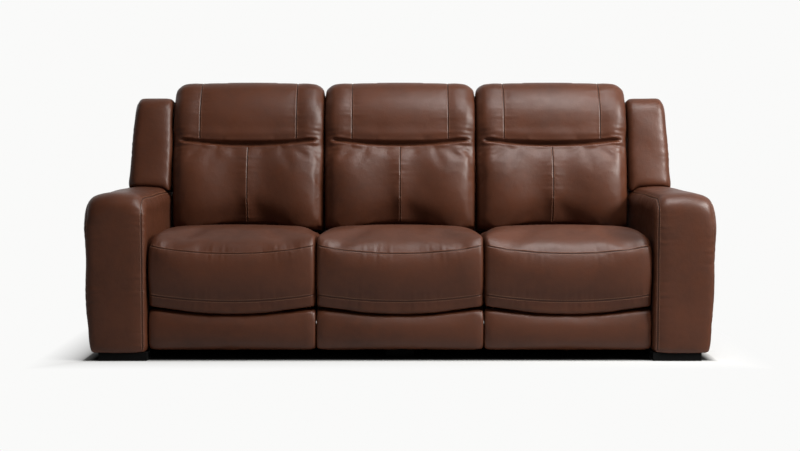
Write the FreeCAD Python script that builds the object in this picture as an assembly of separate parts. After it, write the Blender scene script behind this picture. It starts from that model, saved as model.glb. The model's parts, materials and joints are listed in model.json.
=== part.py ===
"""Three-seat reclining sofa: upholstered arms, three seats, two of which recline.

Millimetres. X runs to the right, Y to the rear and Z up. The origin lies on the
floor under the middle of the sofa. The footrest and the seat swing move in the
plane of F (forward, which is minus Y) and Z.
"""
import FreeCAD, Part
import math
import os

os.makedirs("parts", exist_ok=True)

# Overall sizes
SOFA_WIDTH = 2260.0
SOFA_DEPTH = 950.0
SOFA_HEIGHT = 1016.0
ARM_WIDTH = 228.0
ARM_HEIGHT = 598.0
FOOT_HEIGHT = 30.0
ARM_NOSE_LENGTH = 70.0
ARM_NOSE_DROP = 58.0
ARM_NOSE_DRAW_IN = 18.0
ARM_SIDE_LOW = 298.0
ARM_SIDE_HIGH = 128.0
ARM_CORNER_DROP = 58.0
ARM_CORNER_IN = 18.0
ARM_NOSE_STEPS = 6
WING_WIDTH = 164.0
WING_HEIGHT = 955.0
WING_TOP_CROWN = 14.0
WING_BOTTOM_W = 300.0
WING_FRONT_ROUND = 70.0
WING_TOP_ROUND = 46.0
WING_FLAT_U = 60.0
WING_REAR_TOP_U = 160.0
WING_REAR_DROP = 24.0
WING_REAR_LOW_U = 196.0

# Running gaps
MODULE_GAP = 4.0
PIN_PLAY = 0.05

FRONT_Y = -SOFA_DEPTH / 2.0
REAR_Y = SOFA_DEPTH / 2.0
BACK_HINGE_Y = REAR_Y - 325.0
BACK_HINGE_Z = 260.0

# Seats
SEAT_HEIGHT = 468.0
SEAT_NOSE_RADIUS_Y = 90.0
SEAT_REAR_Y = BACK_HINGE_Y - 30.0
SEAT_REAR_DROP = 44.0
SEAT_DRAW_IN = 12.0
SEAT_FRONT_CROWN = 9.0
UPPER_SEAM_Z = 396.0
LOWER_SEAM_Z = 210.0
LIP_BOTTOM_Z = 172.0
SIDE_SEAM_RISE = 22.0
LIP_SIDE_RISE = 20.0
SEAT_FRAME_TOP = 335.0
SEAT_FRAME_HEIGHT = 35.0
SEAT_RAIL_WIDTH = 40.0
SEAT_RAIL_INSET = 26.0
DUST_PANEL = 6.0
FRONT_BOARD = 18.0
FRONT_BOARD_DEPTH = 145.0
SEAT_FRAME_REAR_Y = SEAT_REAR_Y - 10.0
STRAP_WIDTH = 50.0
STRAP_THICKNESS = 2.0
STRAP_COUNT = 5

# Backs, in their own leaning frame: U to the rear, W up along the lean
BACK_LEAN = 12.0
BACK_FRONT_U = -116.0
BACK_CROWN = 26.0
BACK_BOTTOM_W = 152.0
CREASE_W = 506.0
CREASE_SIDE_RISE = 20.0
CREASE_OVERLAP = 14.0
BACK_TOP_SINK = 8.0
BACK_CORNER_DROP = 18.0
BACK_DRAW_IN = 14.0
SEAM_DRAW_IN = 7.0
HEAD_SEAM_X = 190.0
BACK_FRAME_DEPTH = 40.0
BACK_FRAME_TOP_W = 694.0
BACK_FRAME_BOTTOM_W = 34.0
BACK_RAIL_WIDTH = 60.0
REAR_BOTTOM_Y = REAR_Y - 70.0
REAR_BOTTOM_Z = 300.0
REAR_TOP_Z = 950.0
COVER_WALL = 12.0

# Base
RAIL_WIDTH = 40.0
RAIL_HEIGHT = 30.0
RAIL_BOTTOM_Z = 32.0
MID_RAIL_Y = 20.0
REAR_RAIL_Y = REAR_Y - 130.0
ARM_FRAME_BOARD = 60.0
ARM_FRAME_WIDTH = 140.0
ARM_FRAME_HEIGHT = 500.0
ARM_PADDING = 10.0
ARM_FRAME_FRONT_Y = FRONT_Y + 50.0
ARM_REAR_Y = REAR_Y - 35.0
BASE_PANEL = 16.0
BASE_FRONT_Y = FRONT_Y + 95.0
BASE_REAR_Y = REAR_Y - 75.0
BASE_TOP_Z = 300.0
REAR_PANEL_THICKNESS = 18.0
REAR_PANEL_TOP_Z = 310.0

# Feet
FOOT_WIDTH = 172.0
FOOT_DEPTH = 80.0
FOOT_FRONT_Y = FRONT_Y + 7.0
FOOT_REAR_Y = ARM_REAR_Y - 90.0
MIDDLE_FOOT_WIDTH = 100.0
MIDDLE_FOOT_DEPTH = 60.0

# Front panels, which are the footrests of the end seats
PANEL_FRONT_Y = FRONT_Y + 12.0
PANEL_BACK_Y = PANEL_FRONT_Y + 65.0
PANEL_BOTTOM_Z = 30.0
LIP_GAP = 6.0
PANEL_TOP_Z = LIP_BOTTOM_Z - LIP_GAP
PANEL_DRAW_IN = 10.0
PANEL_CROWN = 7.0
FOOTREST_PLATE = 4.0

# Recline linkage, in F and Z
PLATE = 4.0
PLATE_GAP = 2.0
PLATE_INSET = 14.0
SWING_LENGTH = 125.0
SWING_REST_ANGLE = -95.0
BOARD_PIVOT_F = -PANEL_BACK_Y - 18.0
FRONT_SWING_F = BOARD_PIVOT_F - 180.0
REAR_SWING_F = 15.0 - BACK_HINGE_Y
SWING_PIVOT_Z = 212.0
LINK_HALF_WIDTH = 11.0
GUIDE_HALF_WIDTH = 9.0
PIN_RADIUS = 4.0

# Footrest linkage, in F and Z
LINK_A_F = BOARD_PIVOT_F - 110.0
LINK_A_Z = 280.0
LINK_A_LENGTH = 220.0
LINK_A_REST_ANGLE = -155.0
FOOTREST_TURN = 110.0
BOARD_PIVOT_Z = 73.0
LINK_B_TURN = 50.0
BOARD_TURN = 92.0
LINK_B_TAIL = 45.0
BOARD_EAR_F = -45.0
BOARD_EAR_Z = 35.0
GUIDE_A_PLAY = 5.6

# Release handles
HANDLE_Y = FRONT_Y + 305.0
HANDLE_Z = 400.0
BEZEL_LENGTH = 124.0
BEZEL_HEIGHT = 84.0
BEZEL_DEPTH = 28.0
BEZEL_RIM = 10.0
BEZEL_BACK = 4.0
HANDLE_THICKNESS = 5.0
HANDLE_HEIGHT = 36.0
HANDLE_CLEARANCE = 1.0
HANDLE_PIN_RADIUS = 2.0

# Places that follow from the sizes
ARM_INNER_X = SOFA_WIDTH / 2.0 - ARM_WIDTH
MODULE_WIDTH = (2.0 * ARM_INNER_X - 4.0 * MODULE_GAP) / 3.0
MODULE_PITCH = MODULE_WIDTH + MODULE_GAP
HALF_MODULE = MODULE_WIDTH / 2.0
HALF_CUSHION = HALF_MODULE - 1.0
BASE_PLATE_X = HALF_MODULE - PLATE_INSET
SWING_X = BASE_PLATE_X - PLATE_GAP - PLATE
SEAT_PLATE_X = SWING_X - PLATE_GAP - PLATE
GUIDE_A_X = SEAT_PLATE_X - PLATE_GAP - PLATE
LINK_B_X = GUIDE_A_X - PLATE_GAP - PLATE
LINK_A_X = LINK_B_X - PLATE_GAP - PLATE
GUIDE_B_X = LINK_A_X - PLATE_GAP - PLATE
BACK_TOP_W = (SOFA_HEIGHT - BACK_HINGE_Z) / math.cos(math.radians(BACK_LEAN)) - BACK_TOP_SINK
SEAT_FRAME_BOTTOM = SEAT_FRAME_TOP - SEAT_FRAME_HEIGHT
FRONT_BOARD_Y = PANEL_BACK_Y
RAIL_TOP_Z = RAIL_BOTTOM_Z + RAIL_HEIGHT
ARM_FRAME_X = ARM_INNER_X + ARM_PADDING
SIDES = (("left", -1.0), ("right", 1.0))


# Shapes
def box(x0, x1, y0, y1, z0, z1):
    return Part.makeBox(x1 - x0, y1 - y0, z1 - z0, FreeCAD.Vector(x0, y0, z0))


def rod(x0, x1, f, z, radius):
    """A round pin along X, at F and Z."""
    return Part.makeCylinder(radius, x1 - x0, FreeCAD.Vector(x0, -f, z), FreeCAD.Vector(1, 0, 0))


def bar(start, end, half_width, x0, x1):
    """A flat link with round ends between two points of F and Z."""
    run_f = end[0] - start[0]
    run_z = end[1] - start[1]
    length = math.hypot(run_f, run_z)
    side_f = -run_z / length * half_width
    side_z = run_f / length * half_width
    corners = []
    for point, sign in ((start, 1.0), (end, 1.0), (end, -1.0), (start, -1.0)):
        corners.append(FreeCAD.Vector(x0, -(point[0] + sign * side_f), point[1] + sign * side_z))
    shape = Part.Face(Part.makePolygon(corners + corners[:1])).extrude(FreeCAD.Vector(x1 - x0, 0, 0))
    for point in (start, end):
        shape = shape.fuse(rod(x0, x1, point[0], point[1], half_width))
    return shape.removeSplitter()


def bulged_wire(points, bulges, place):
    """A closed wire through the points; each side is a line or an arc with that bulge."""
    edges = []
    for index, start in enumerate(points):
        end = points[(index + 1) % len(points)]
        rise = bulges[index]
        if rise == 0.0:
            edges.append(Part.makeLine(place(*start), place(*end)))
            continue
        run = math.hypot(end[0] - start[0], end[1] - start[1])
        middle = (
            (start[0] + end[0]) / 2.0 + (end[1] - start[1]) / run * rise,
            (start[1] + end[1]) / 2.0 - (end[0] - start[0]) / run * rise,
        )
        edges.append(Part.Arc(place(*start), place(*middle), place(*end)).toShape())
    return Part.Wire(edges)


def loft(wires):
    return Part.makeLoft(wires, True, False)


def faceted_loft(wires):
    return Part.makeLoft(wires, True, True)


def padded(wires):
    """A smooth body between the inner wires, closed by a short turned edge at each end."""
    ends = [faceted_loft(wires[:2]), faceted_loft(wires[-2:])]
    return loft(wires[1:-1]).multiFuse(ends).removeSplitter()


def both_sides(shape):
    """The shape and its mirror image, side by side."""
    return Part.makeCompound([shape, shape.mirror(FreeCAD.Vector(0, 0, 0), FreeCAD.Vector(1, 0, 0))])


def turned(point, centre, degrees):
    angle = math.radians(degrees)
    f = point[0] - centre[0]
    z = point[1] - centre[1]
    return (
        centre[0] + f * math.cos(angle) - z * math.sin(angle),
        centre[1] + f * math.sin(angle) + z * math.cos(angle),
    )


def from_point(point, length, degrees):
    angle = math.radians(degrees)
    return (point[0] + length * math.cos(angle), point[1] + length * math.sin(angle))


def centre_through(first, second, third):
    """The centre of the circle through three points."""
    ax, ay = first
    bx, by = second
    cx, cy = third
    twice = 2.0 * (ax * (by - cy) + bx * (cy - ay) + cx * (ay - by))
    aa = ax * ax + ay * ay
    bb = bx * bx + by * by
    cc = cx * cx + cy * cy
    return (
        (aa * (by - cy) + bb * (cy - ay) + cc * (ay - by)) / twice,
        (aa * (cx - bx) + bb * (ax - cx) + cc * (bx - ax)) / twice,
    )


def heading(start, end):
    return math.degrees(math.atan2(end[1] - start[1], end[0] - start[0]))


def back_point(u, w):
    """A point of the leaning back frame as Y and Z."""
    lean = math.radians(BACK_LEAN)
    return (
        BACK_HINGE_Y + u * math.cos(lean) + w * math.sin(lean),
        BACK_HINGE_Z - u * math.sin(lean) + w * math.cos(lean),
    )


def in_back(x):
    """A placer of U and W at X."""
    return lambda u, w: FreeCAD.Vector(x, *back_point(u, w))


# Footrest linkage: every pivot at rest, half way and full out
LINK_A_PIVOT = (LINK_A_F, LINK_A_Z)
BOARD_PIVOT = (BOARD_PIVOT_F, BOARD_PIVOT_Z)
LINK_A_END = from_point(LINK_A_PIVOT, LINK_A_LENGTH, LINK_A_REST_ANGLE)
LINK_B_LENGTH = math.hypot(BOARD_PIVOT_F - LINK_A_END[0], BOARD_PIVOT_Z - LINK_A_END[1])
LINK_B_ANGLE = heading(LINK_A_END, BOARD_PIVOT)


def footrest_pose(share):
    """The pivots with the footrest this share of its travel out."""
    knee = from_point(LINK_A_PIVOT, LINK_A_LENGTH, LINK_A_REST_ANGLE + FOOTREST_TURN * share)
    angle_b = LINK_B_ANGLE + LINK_B_TURN * share
    board = from_point(knee, LINK_B_LENGTH, angle_b)
    tail = from_point(knee, -LINK_B_TAIL, angle_b)
    ear = turned((board[0] + BOARD_EAR_F, board[1] + BOARD_EAR_Z), board, BOARD_TURN * share)
    return knee, board, tail, ear


POSES = [footrest_pose(share) for share in (0.0, 0.5, 1.0)]
GUIDE_A_PIVOT = centre_through(*[pose[2] for pose in POSES])
EARS_ON_LINK_A = [
    turned(pose[3], LINK_A_PIVOT, -FOOTREST_TURN * share) for pose, share in zip(POSES, (0.0, 0.5, 1.0))
]
GUIDE_B_PIVOT = centre_through(*EARS_ON_LINK_A)
TAIL_REST = POSES[0][2]
EAR_REST = POSES[0][3]
GUIDE_A_TURN = (heading(GUIDE_A_PIVOT, POSES[2][2]) - heading(GUIDE_A_PIVOT, TAIL_REST)) % 360.0
GUIDE_B_TURN = heading(GUIDE_B_PIVOT, EARS_ON_LINK_A[2]) - heading(GUIDE_B_PIVOT, EAR_REST)
FRONT_SWING_TOP = (FRONT_SWING_F, SWING_PIVOT_Z)
REAR_SWING_TOP = (REAR_SWING_F, SWING_PIVOT_Z)
FRONT_SWING_FOOT = from_point(FRONT_SWING_TOP, SWING_LENGTH, SWING_REST_ANGLE)
REAR_SWING_FOOT = from_point(REAR_SWING_TOP, SWING_LENGTH, SWING_REST_ANGLE)
BACK_HINGE = (-BACK_HINGE_Y, BACK_HINGE_Z)


# Seats
def seat_section(x, draw_in, rise, crown):
    top = SEAT_HEIGHT - draw_in + crown
    front = FRONT_Y + SEAT_FRONT_CROWN + draw_in
    lip = LIP_SIDE_RISE * rise / SIDE_SEAM_RISE
    points = (
        (SEAT_REAR_Y, SEAT_FRAME_TOP),
        (SEAT_REAR_Y - draw_in, top - SEAT_REAR_DROP - 12.0),
        (FRONT_Y + SEAT_NOSE_RADIUS_Y, top - 6.0),
        (front, UPPER_SEAM_Z + rise),
        (front + 1.0, LOWER_SEAM_Z + rise),
        (front + 24.0, LIP_BOTTOM_Z + lip),
        (FRONT_BOARD_Y, LIP_BOTTOM_Z + lip + 6.0),
        (FRONT_BOARD_Y, SEAT_FRAME_TOP),
    )
    bulges = (5.0, 16.0, 17.0, SEAT_FRONT_CROWN, 8.0, 2.0, 0.0, 0.0)
    ordered = [(-y, z) for y, z in points]
    return bulged_wire(ordered, [-rise_out for rise_out in bulges], lambda f, z: FreeCAD.Vector(x, -f, z))


def seat_cushion():
    """A waterfall seat: crowned top, sewn front band and a lip that hangs in front."""
    stations = (
        (-1.0, SEAT_DRAW_IN, SIDE_SEAM_RISE, 0.0),
        (-0.95, 3.0, SIDE_SEAM_RISE, 0.0),
        (-0.48, 0.0, SIDE_SEAM_RISE / 3.0, 0.0),
        (0.0, 0.0, 0.0, 2.0),
        (0.48, 0.0, SIDE_SEAM_RISE / 3.0, 0.0),
        (0.95, 3.0, SIDE_SEAM_RISE, 0.0),
        (1.0, SEAT_DRAW_IN, SIDE_SEAM_RISE, 0.0),
    )
    return padded([seat_section(share * HALF_CUSHION, *rest) for share, *rest in stations])


def seat_frame():
    """A tray of rails with a dust panel below, and a board down the front."""
    half = HALF_MODULE - SEAT_RAIL_INSET
    rear = SEAT_FRAME_REAR_Y
    front = FRONT_BOARD_Y + FRONT_BOARD
    tray = box(-half, half, front, rear, SEAT_FRAME_BOTTOM, SEAT_FRAME_TOP)
    pocket = box(
        -half + SEAT_RAIL_WIDTH, half - SEAT_RAIL_WIDTH, front + SEAT_RAIL_WIDTH,
        rear - SEAT_RAIL_WIDTH, SEAT_FRAME_BOTTOM + DUST_PANEL, SEAT_FRAME_TOP,
    )
    board = box(
        -half, half, FRONT_BOARD_Y, front, SEAT_FRAME_TOP - FRONT_BOARD_DEPTH, SEAT_FRAME_TOP,
    )
    return tray.cut(pocket).fuse(board).removeSplitter()


def seat_straps():
    """Webbing that carries the cushion, from the front rail to the rear rail."""
    half = HALF_MODULE - SEAT_RAIL_INSET - SEAT_RAIL_WIDTH
    pitch = 2.0 * half / STRAP_COUNT
    front = FRONT_BOARD_Y + FRONT_BOARD + SEAT_RAIL_WIDTH
    rear = SEAT_FRAME_REAR_Y - SEAT_RAIL_WIDTH
    straps = []
    for index in range(STRAP_COUNT):
        middle = -half + pitch * (index + 0.5)
        straps.append(box(
            middle - STRAP_WIDTH / 2.0, middle + STRAP_WIDTH / 2.0, front, rear,
            SEAT_FRAME_TOP - STRAP_THICKNESS, SEAT_FRAME_TOP,
        ))
    return Part.makeCompound(straps)


# Backs
def lumbar_section(x, draw_in, rise, lift):
    front = BACK_FRONT_U + draw_in
    points = (
        (0.0, BACK_BOTTOM_W),
        (front + 8.0, BACK_BOTTOM_W + draw_in),
        (front, CREASE_W + CREASE_OVERLAP + rise),
        (0.0, CREASE_W + CREASE_OVERLAP + rise),
    )
    return bulged_wire(points, (-6.0, -lift, 0.0, 0.0), in_back(x))


def head_section(x, draw_in, rise, drop):
    front = BACK_FRONT_U + draw_in
    points = (
        (0.0, CREASE_W + rise),
        (front, CREASE_W + rise),
        (front + 14.0, BACK_TOP_W - 58.0 - drop),
        (-34.0, BACK_TOP_W - drop),
        (BACK_FRAME_DEPTH, BACK_TOP_W - 14.0 - drop),
        (BACK_FRAME_DEPTH, BACK_FRAME_TOP_W),
        (0.0, BACK_FRAME_TOP_W),
    )
    return bulged_wire(points, (0.0, -BACK_CROWN, -15.0, -5.0, 0.0, 0.0, 0.0), in_back(x))


def crease_rise(x):
    return CREASE_SIDE_RISE * (x / HALF_CUSHION) ** 2


def back_cushion():
    """Lumbar pillow of two panels below the crease, headrest of three panels above."""
    end = HALF_CUSHION
    panels = []
    for side in (-1.0, 1.0):
        stations = (
            (0.0, SEAM_DRAW_IN, BACK_CROWN),
            (side * end * 0.5, 0.0, BACK_CROWN),
            (side * end * 0.93, 4.0, BACK_CROWN - 2.0),
            (side * end, BACK_DRAW_IN, BACK_CROWN - 8.0),
        )
        panels.append(loft([lumbar_section(x, inset, crease_rise(x), lift) for x, inset, lift in stations]))
        stations = (
            (side * HEAD_SEAM_X, SEAM_DRAW_IN, 3.0),
            (side * (HEAD_SEAM_X + end) / 2.0, 1.0, 4.0),
            (side * end, BACK_DRAW_IN, BACK_CORNER_DROP),
        )
        panels.append(loft([head_section(x, inset, crease_rise(x), drop) for x, inset, drop in stations]))
    stations = (
        (-HEAD_SEAM_X, SEAM_DRAW_IN, 3.0),
        (0.0, 0.0, 0.0),
        (HEAD_SEAM_X, SEAM_DRAW_IN, 3.0),
    )
    panels.append(loft([head_section(x, inset, crease_rise(x), drop) for x, inset, drop in stations]))
    return panels[0].multiFuse(panels[1:])


def back_frame(moving):
    """A frame of boards; in an end seat it has a hinge plate on each side."""
    half = GUIDE_A_X - 1.0
    board = []
    for x0, x1, w0, w1 in (
        (-half, half, BACK_FRAME_BOTTOM_W, BACK_FRAME_BOTTOM_W + BACK_RAIL_WIDTH),
        (-half, half, BACK_FRAME_TOP_W - BACK_RAIL_WIDTH, BACK_FRAME_TOP_W),
        (-half, -half + BACK_RAIL_WIDTH, BACK_FRAME_BOTTOM_W, BACK_FRAME_TOP_W),
        (half - BACK_RAIL_WIDTH, half, BACK_FRAME_BOTTOM_W, BACK_FRAME_TOP_W),
    ):
        corners = ((0.0, w0), (0.0, w1), (BACK_FRAME_DEPTH, w1), (BACK_FRAME_DEPTH, w0))
        face = Part.Face(bulged_wire(corners, (0.0, 0.0, 0.0, 0.0), in_back(x0)))
        board.append(face.extrude(FreeCAD.Vector(x1 - x0, 0, 0)))
    frame = board[0].multiFuse(board[1:]).removeSplitter()
    if not moving:
        return frame
    low = (-back_point(BACK_FRAME_DEPTH / 2.0, BACK_FRAME_BOTTOM_W)[0], back_point(20.0, BACK_FRAME_BOTTOM_W)[1])
    high = (-back_point(20.0, 180.0)[0], back_point(20.0, 180.0)[1])
    outer = GUIDE_A_X + PLATE
    plate = bar(BACK_HINGE, low, 14.0, half, outer).fuse(bar(low, high, 14.0, half, outer))
    plate = plate.fuse(rod(half, SEAT_PLATE_X + PLATE, *BACK_HINGE, PIN_RADIUS)).removeSplitter()
    mirrored = plate.mirror(FreeCAD.Vector(0, 0, 0), FreeCAD.Vector(1, 0, 0))
    return frame.multiFuse([plate, mirrored])


def cover_wire(x, inset):
    """The rear cover's outline at X, drawn in by the inset on all sides but the front."""
    low = back_point(BACK_FRAME_DEPTH, BACK_FRAME_BOTTOM_W)
    top = back_point(BACK_FRAME_DEPTH, BACK_TOP_W - 16.0 - BACK_CORNER_DROP)
    points = (
        (low[0], low[1] + inset),
        (REAR_BOTTOM_Y - inset, REAR_BOTTOM_Z + inset),
        (-FRONT_Y - inset, REAR_TOP_Z - 30.0 - inset),
        (-FRONT_Y - 22.0 - inset, REAR_TOP_Z - inset),
        (top[0], top[1] - inset),
    )
    return bulged_wire(points, (0.0, 0.0, 6.0, 4.0, 0.0), lambda y, z: FreeCAD.Vector(x, y, z))


def back_rear_cover():
    """A hollow cover over the back of the frame, open only against the frame."""
    half = HALF_CUSHION
    outer = Part.Face(cover_wire(-half, 0.0)).extrude(FreeCAD.Vector(2.0 * half, 0, 0))
    hollow = Part.Face(cover_wire(-half + COVER_WALL, COVER_WALL))
    hollow = hollow.extrude(FreeCAD.Vector(2.0 * (half - COVER_WALL), 0, 0))
    return outer.cut(hollow)


# Front panels and footrests
def panel_pad(back_y):
    """A padded panel with a crowned face and drawn-in edges."""
    wires = []
    for share, inset in ((-1.0, PANEL_DRAW_IN), (-0.93, 2.0), (0.0, 0.0), (0.93, 2.0), (1.0, PANEL_DRAW_IN)):
        face_f = -PANEL_FRONT_Y - PANEL_CROWN - inset
        low = PANEL_BOTTOM_Z + inset / 2.0
        high = PANEL_TOP_Z - inset / 2.0
        points = (
            (-back_y, low), (face_f - 12.0, low), (face_f, low + 14.0),
            (face_f, high - 18.0), (face_f - 16.0, high), (-back_y, high),
        )
        bulges = (0.0, 3.0, PANEL_CROWN, 4.0, 0.0, 0.0)
        x = share * HALF_CUSHION
        wires.append(bulged_wire(points, bulges, lambda f, z, x=x: FreeCAD.Vector(x, -f, z)))
    return padded(wires)


def footrest_frame():
    """A steel plate behind the pad with an ear at each side for the links."""
    half = HALF_CUSHION - 6.0
    face = -PANEL_BACK_Y
    plate = box(-half, half, -face - FOOTREST_PLATE, -face, PANEL_BOTTOM_Z + 8.0, PANEL_TOP_Z - 8.0)
    x0 = LINK_A_X
    x1 = LINK_A_X + PLATE
    ear = bar(EAR_REST, BOARD_PIVOT, LINK_HALF_WIDTH, x0, x1)
    web = box(x0, x1, -face, -BOARD_PIVOT_F, BOARD_PIVOT_Z - 30.0, BOARD_PIVOT_Z + 40.0)
    top_web = bar(EAR_REST, (face - 14.0, BOARD_PIVOT_Z + BOARD_EAR_Z), LINK_HALF_WIDTH, x0, x1)
    ear = ear.multiFuse([web, top_web])
    ear = ear.fuse(rod(x0, LINK_B_X + PLATE, *BOARD_PIVOT, PIN_RADIUS))
    ear = ear.fuse(rod(GUIDE_B_X, x1, *EAR_REST, PIN_RADIUS)).removeSplitter()
    mirrored = ear.mirror(FreeCAD.Vector(0, 0, 0), FreeCAD.Vector(1, 0, 0))
    return plate.multiFuse([ear, mirrored])


# Links, each with its twin on the other side of the seat
def hole(point, x, play=PIN_PLAY):
    return rod(x - 1.0, x + PLATE + 1.0, *point, PIN_RADIUS + play)


def link_a():
    x = LINK_A_X
    link = bar(LINK_A_PIVOT, LINK_A_END, LINK_HALF_WIDTH, x, x + PLATE)
    link = link.fuse(bar(LINK_A_END, GUIDE_B_PIVOT, LINK_HALF_WIDTH, x, x + PLATE))
    link = link.cut(hole(LINK_A_PIVOT, x))
    link = link.fuse(rod(x, LINK_B_X + PLATE, *LINK_A_END, PIN_RADIUS))
    return both_sides(link.fuse(rod(GUIDE_B_X, x + PLATE, *GUIDE_B_PIVOT, PIN_RADIUS)).removeSplitter())


def link_b():
    x = LINK_B_X
    link = bar(TAIL_REST, BOARD_PIVOT, LINK_HALF_WIDTH, x, x + PLATE)
    link = link.cut(hole(LINK_A_END, x)).cut(hole(BOARD_PIVOT, x))
    return both_sides(link.fuse(rod(x, GUIDE_A_X + PLATE, *TAIL_REST, PIN_RADIUS - 1.0)).removeSplitter())


def guide_a():
    x = GUIDE_A_X
    link = bar(GUIDE_A_PIVOT, TAIL_REST, GUIDE_HALF_WIDTH, x, x + PLATE)
    link = link.fuse(rod(x, x + PLATE, *TAIL_REST, PIN_RADIUS + GUIDE_A_PLAY + 3.0))
    return both_sides(link.cut(hole(GUIDE_A_PIVOT, x)).cut(hole(TAIL_REST, x, GUIDE_A_PLAY - 1.0)))


def guide_b():
    x = GUIDE_B_X
    link = bar(GUIDE_B_PIVOT, EAR_REST, GUIDE_HALF_WIDTH, x, x + PLATE)
    return both_sides(link.cut(hole(GUIDE_B_PIVOT, x)).cut(hole(EAR_REST, x, 1.0)))


def swing_links(top, foot):
    x = SWING_X
    link = bar(top, foot, LINK_HALF_WIDTH, x, x + PLATE)
    return both_sides(link.cut(hole(top, x)).cut(hole(foot, x)))


def seat_plates():
    """The side plates of the seat, with hangers down to the swing links."""
    x0 = SEAT_PLATE_X
    x1 = x0 + PLATE
    front_end = (LINK_A_F + 50.0, LINK_A_Z)
    plate = box(x0, x1, -front_end[0], BACK_HINGE_Y + 14.0, BACK_HINGE_Z - 14.0, SEAT_FRAME_TOP - 1.0)
    for foot in (FRONT_SWING_FOOT, REAR_SWING_FOOT):
        root = (foot[0], BACK_HINGE_Z)
        plate = plate.fuse(bar(root, foot, LINK_HALF_WIDTH + 4.0, x0, x1))
        plate = plate.fuse(rod(x0, SWING_X + PLATE, *foot, PIN_RADIUS))
    plate = plate.cut(hole(BACK_HINGE, x0))
    plate = plate.fuse(rod(LINK_A_X, x1, *LINK_A_PIVOT, PIN_RADIUS))
    return both_sides(plate.fuse(rod(GUIDE_A_X, x1, *GUIDE_A_PIVOT, PIN_RADIUS)).removeSplitter())


def mechanism_base():
    """Fixed plates that the swing links hang from, bolted on with spacers."""
    x0 = BASE_PLATE_X
    x1 = x0 + PLATE
    plate = box(x0, x1, -FRONT_SWING_F - 30.0, -REAR_SWING_F + 30.0, SWING_PIVOT_Z - 14.0, SWING_PIVOT_Z + 26.0)
    for top in (FRONT_SWING_TOP, REAR_SWING_TOP):
        plate = plate.fuse(rod(SWING_X, x1, *top, PIN_RADIUS))
    inner = plate.mirror(FreeCAD.Vector(0, 0, 0), FreeCAD.Vector(1, 0, 0))
    outer_face = HALF_MODULE + MODULE_GAP
    for f in (FRONT_SWING_F - 60.0, REAR_SWING_F + 60.0):
        plate = plate.fuse(rod(x1, outer_face, f, SWING_PIVOT_Z + 8.0, 9.0))
        inner = inner.fuse(rod(-outer_face, -x1, f, SWING_PIVOT_Z + 8.0, 9.0))
    return Part.makeCompound([plate.removeSplitter(), inner.removeSplitter()])


# Arms, wings, base and feet, made for the right side
def arm_section(y, top_drop, side_in):
    inner = ARM_INNER_X + side_in / 6.0
    outer = SOFA_WIDTH / 2.0 - side_in
    top = ARM_HEIGHT - top_drop
    points = (
        (inner, FOOT_HEIGHT), (outer - 20.0, FOOT_HEIGHT),
        (outer, ARM_HEIGHT - ARM_SIDE_LOW), (outer, ARM_HEIGHT - ARM_SIDE_HIGH),
        (outer - ARM_CORNER_IN, top - ARM_CORNER_DROP),
        (inner + 110.0, top), (inner + 46.0, top - 4.0), (inner, top - 50.0),
    )
    bulges = (0.0, 3.0, 0.0, 4.0, 15.0, 1.0, 13.0, 0.0)
    return bulged_wire(points, bulges, lambda x, z: FreeCAD.Vector(x, y, z))


def arm_solid():
    wires = []
    for step in range(ARM_NOSE_STEPS + 1):
        angle = math.radians(90.0 * step / ARM_NOSE_STEPS)
        back = 1.0 - math.cos(angle)
        drop = 1.0 - math.sin(angle)
        y = FRONT_Y + ARM_NOSE_LENGTH * back
        wires.append(arm_section(y, ARM_NOSE_DROP * drop, ARM_NOSE_DRAW_IN * drop))
    wires.append(arm_section(ARM_REAR_Y, 0.0, 0.0))
    return faceted_loft(wires)


def arm_frame_space():
    return box(
        ARM_FRAME_X, ARM_FRAME_X + ARM_FRAME_WIDTH, ARM_FRAME_FRONT_Y, ARM_REAR_Y - ARM_PADDING,
        FOOT_HEIGHT, FOOT_HEIGHT + ARM_FRAME_HEIGHT,
    )


def arm_frame():
    window = box(
        ARM_FRAME_X, ARM_FRAME_X + ARM_FRAME_WIDTH, ARM_FRAME_FRONT_Y + ARM_FRAME_BOARD,
        ARM_REAR_Y - ARM_PADDING - ARM_FRAME_BOARD, FOOT_HEIGHT + ARM_FRAME_BOARD,
        FOOT_HEIGHT + ARM_FRAME_HEIGHT - ARM_FRAME_BOARD,
    )
    return arm_frame_space().cut(window)


def base_rail(front_y):
    return box(-ARM_FRAME_X, ARM_FRAME_X, front_y, front_y + RAIL_WIDTH, RAIL_BOTTOM_Z, RAIL_TOP_Z)


def bezel_space():
    outer = SOFA_WIDTH / 2.0
    return box(
        outer - BEZEL_DEPTH, outer, HANDLE_Y - BEZEL_LENGTH / 2.0, HANDLE_Y + BEZEL_LENGTH / 2.0,
        HANDLE_Z - BEZEL_HEIGHT / 2.0, HANDLE_Z + BEZEL_HEIGHT / 2.0,
    )


def arm_cover():
    """Padding and leather over the arm frame, cut for the rails and the handle cup."""
    cover = arm_solid().cut(arm_frame_space())
    for front_y in (MID_RAIL_Y, REAR_RAIL_Y):
        cover = cover.cut(base_rail(front_y))
    return cover.cut(bezel_space())


HANDLE_TOP_Z = HANDLE_Z + BEZEL_HEIGHT / 2.0 - BEZEL_RIM
HANDLE_PIN_X = SOFA_WIDTH / 2.0 - HANDLE_THICKNESS
HANDLE_PIN_Z = HANDLE_TOP_Z - HANDLE_THICKNESS


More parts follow.
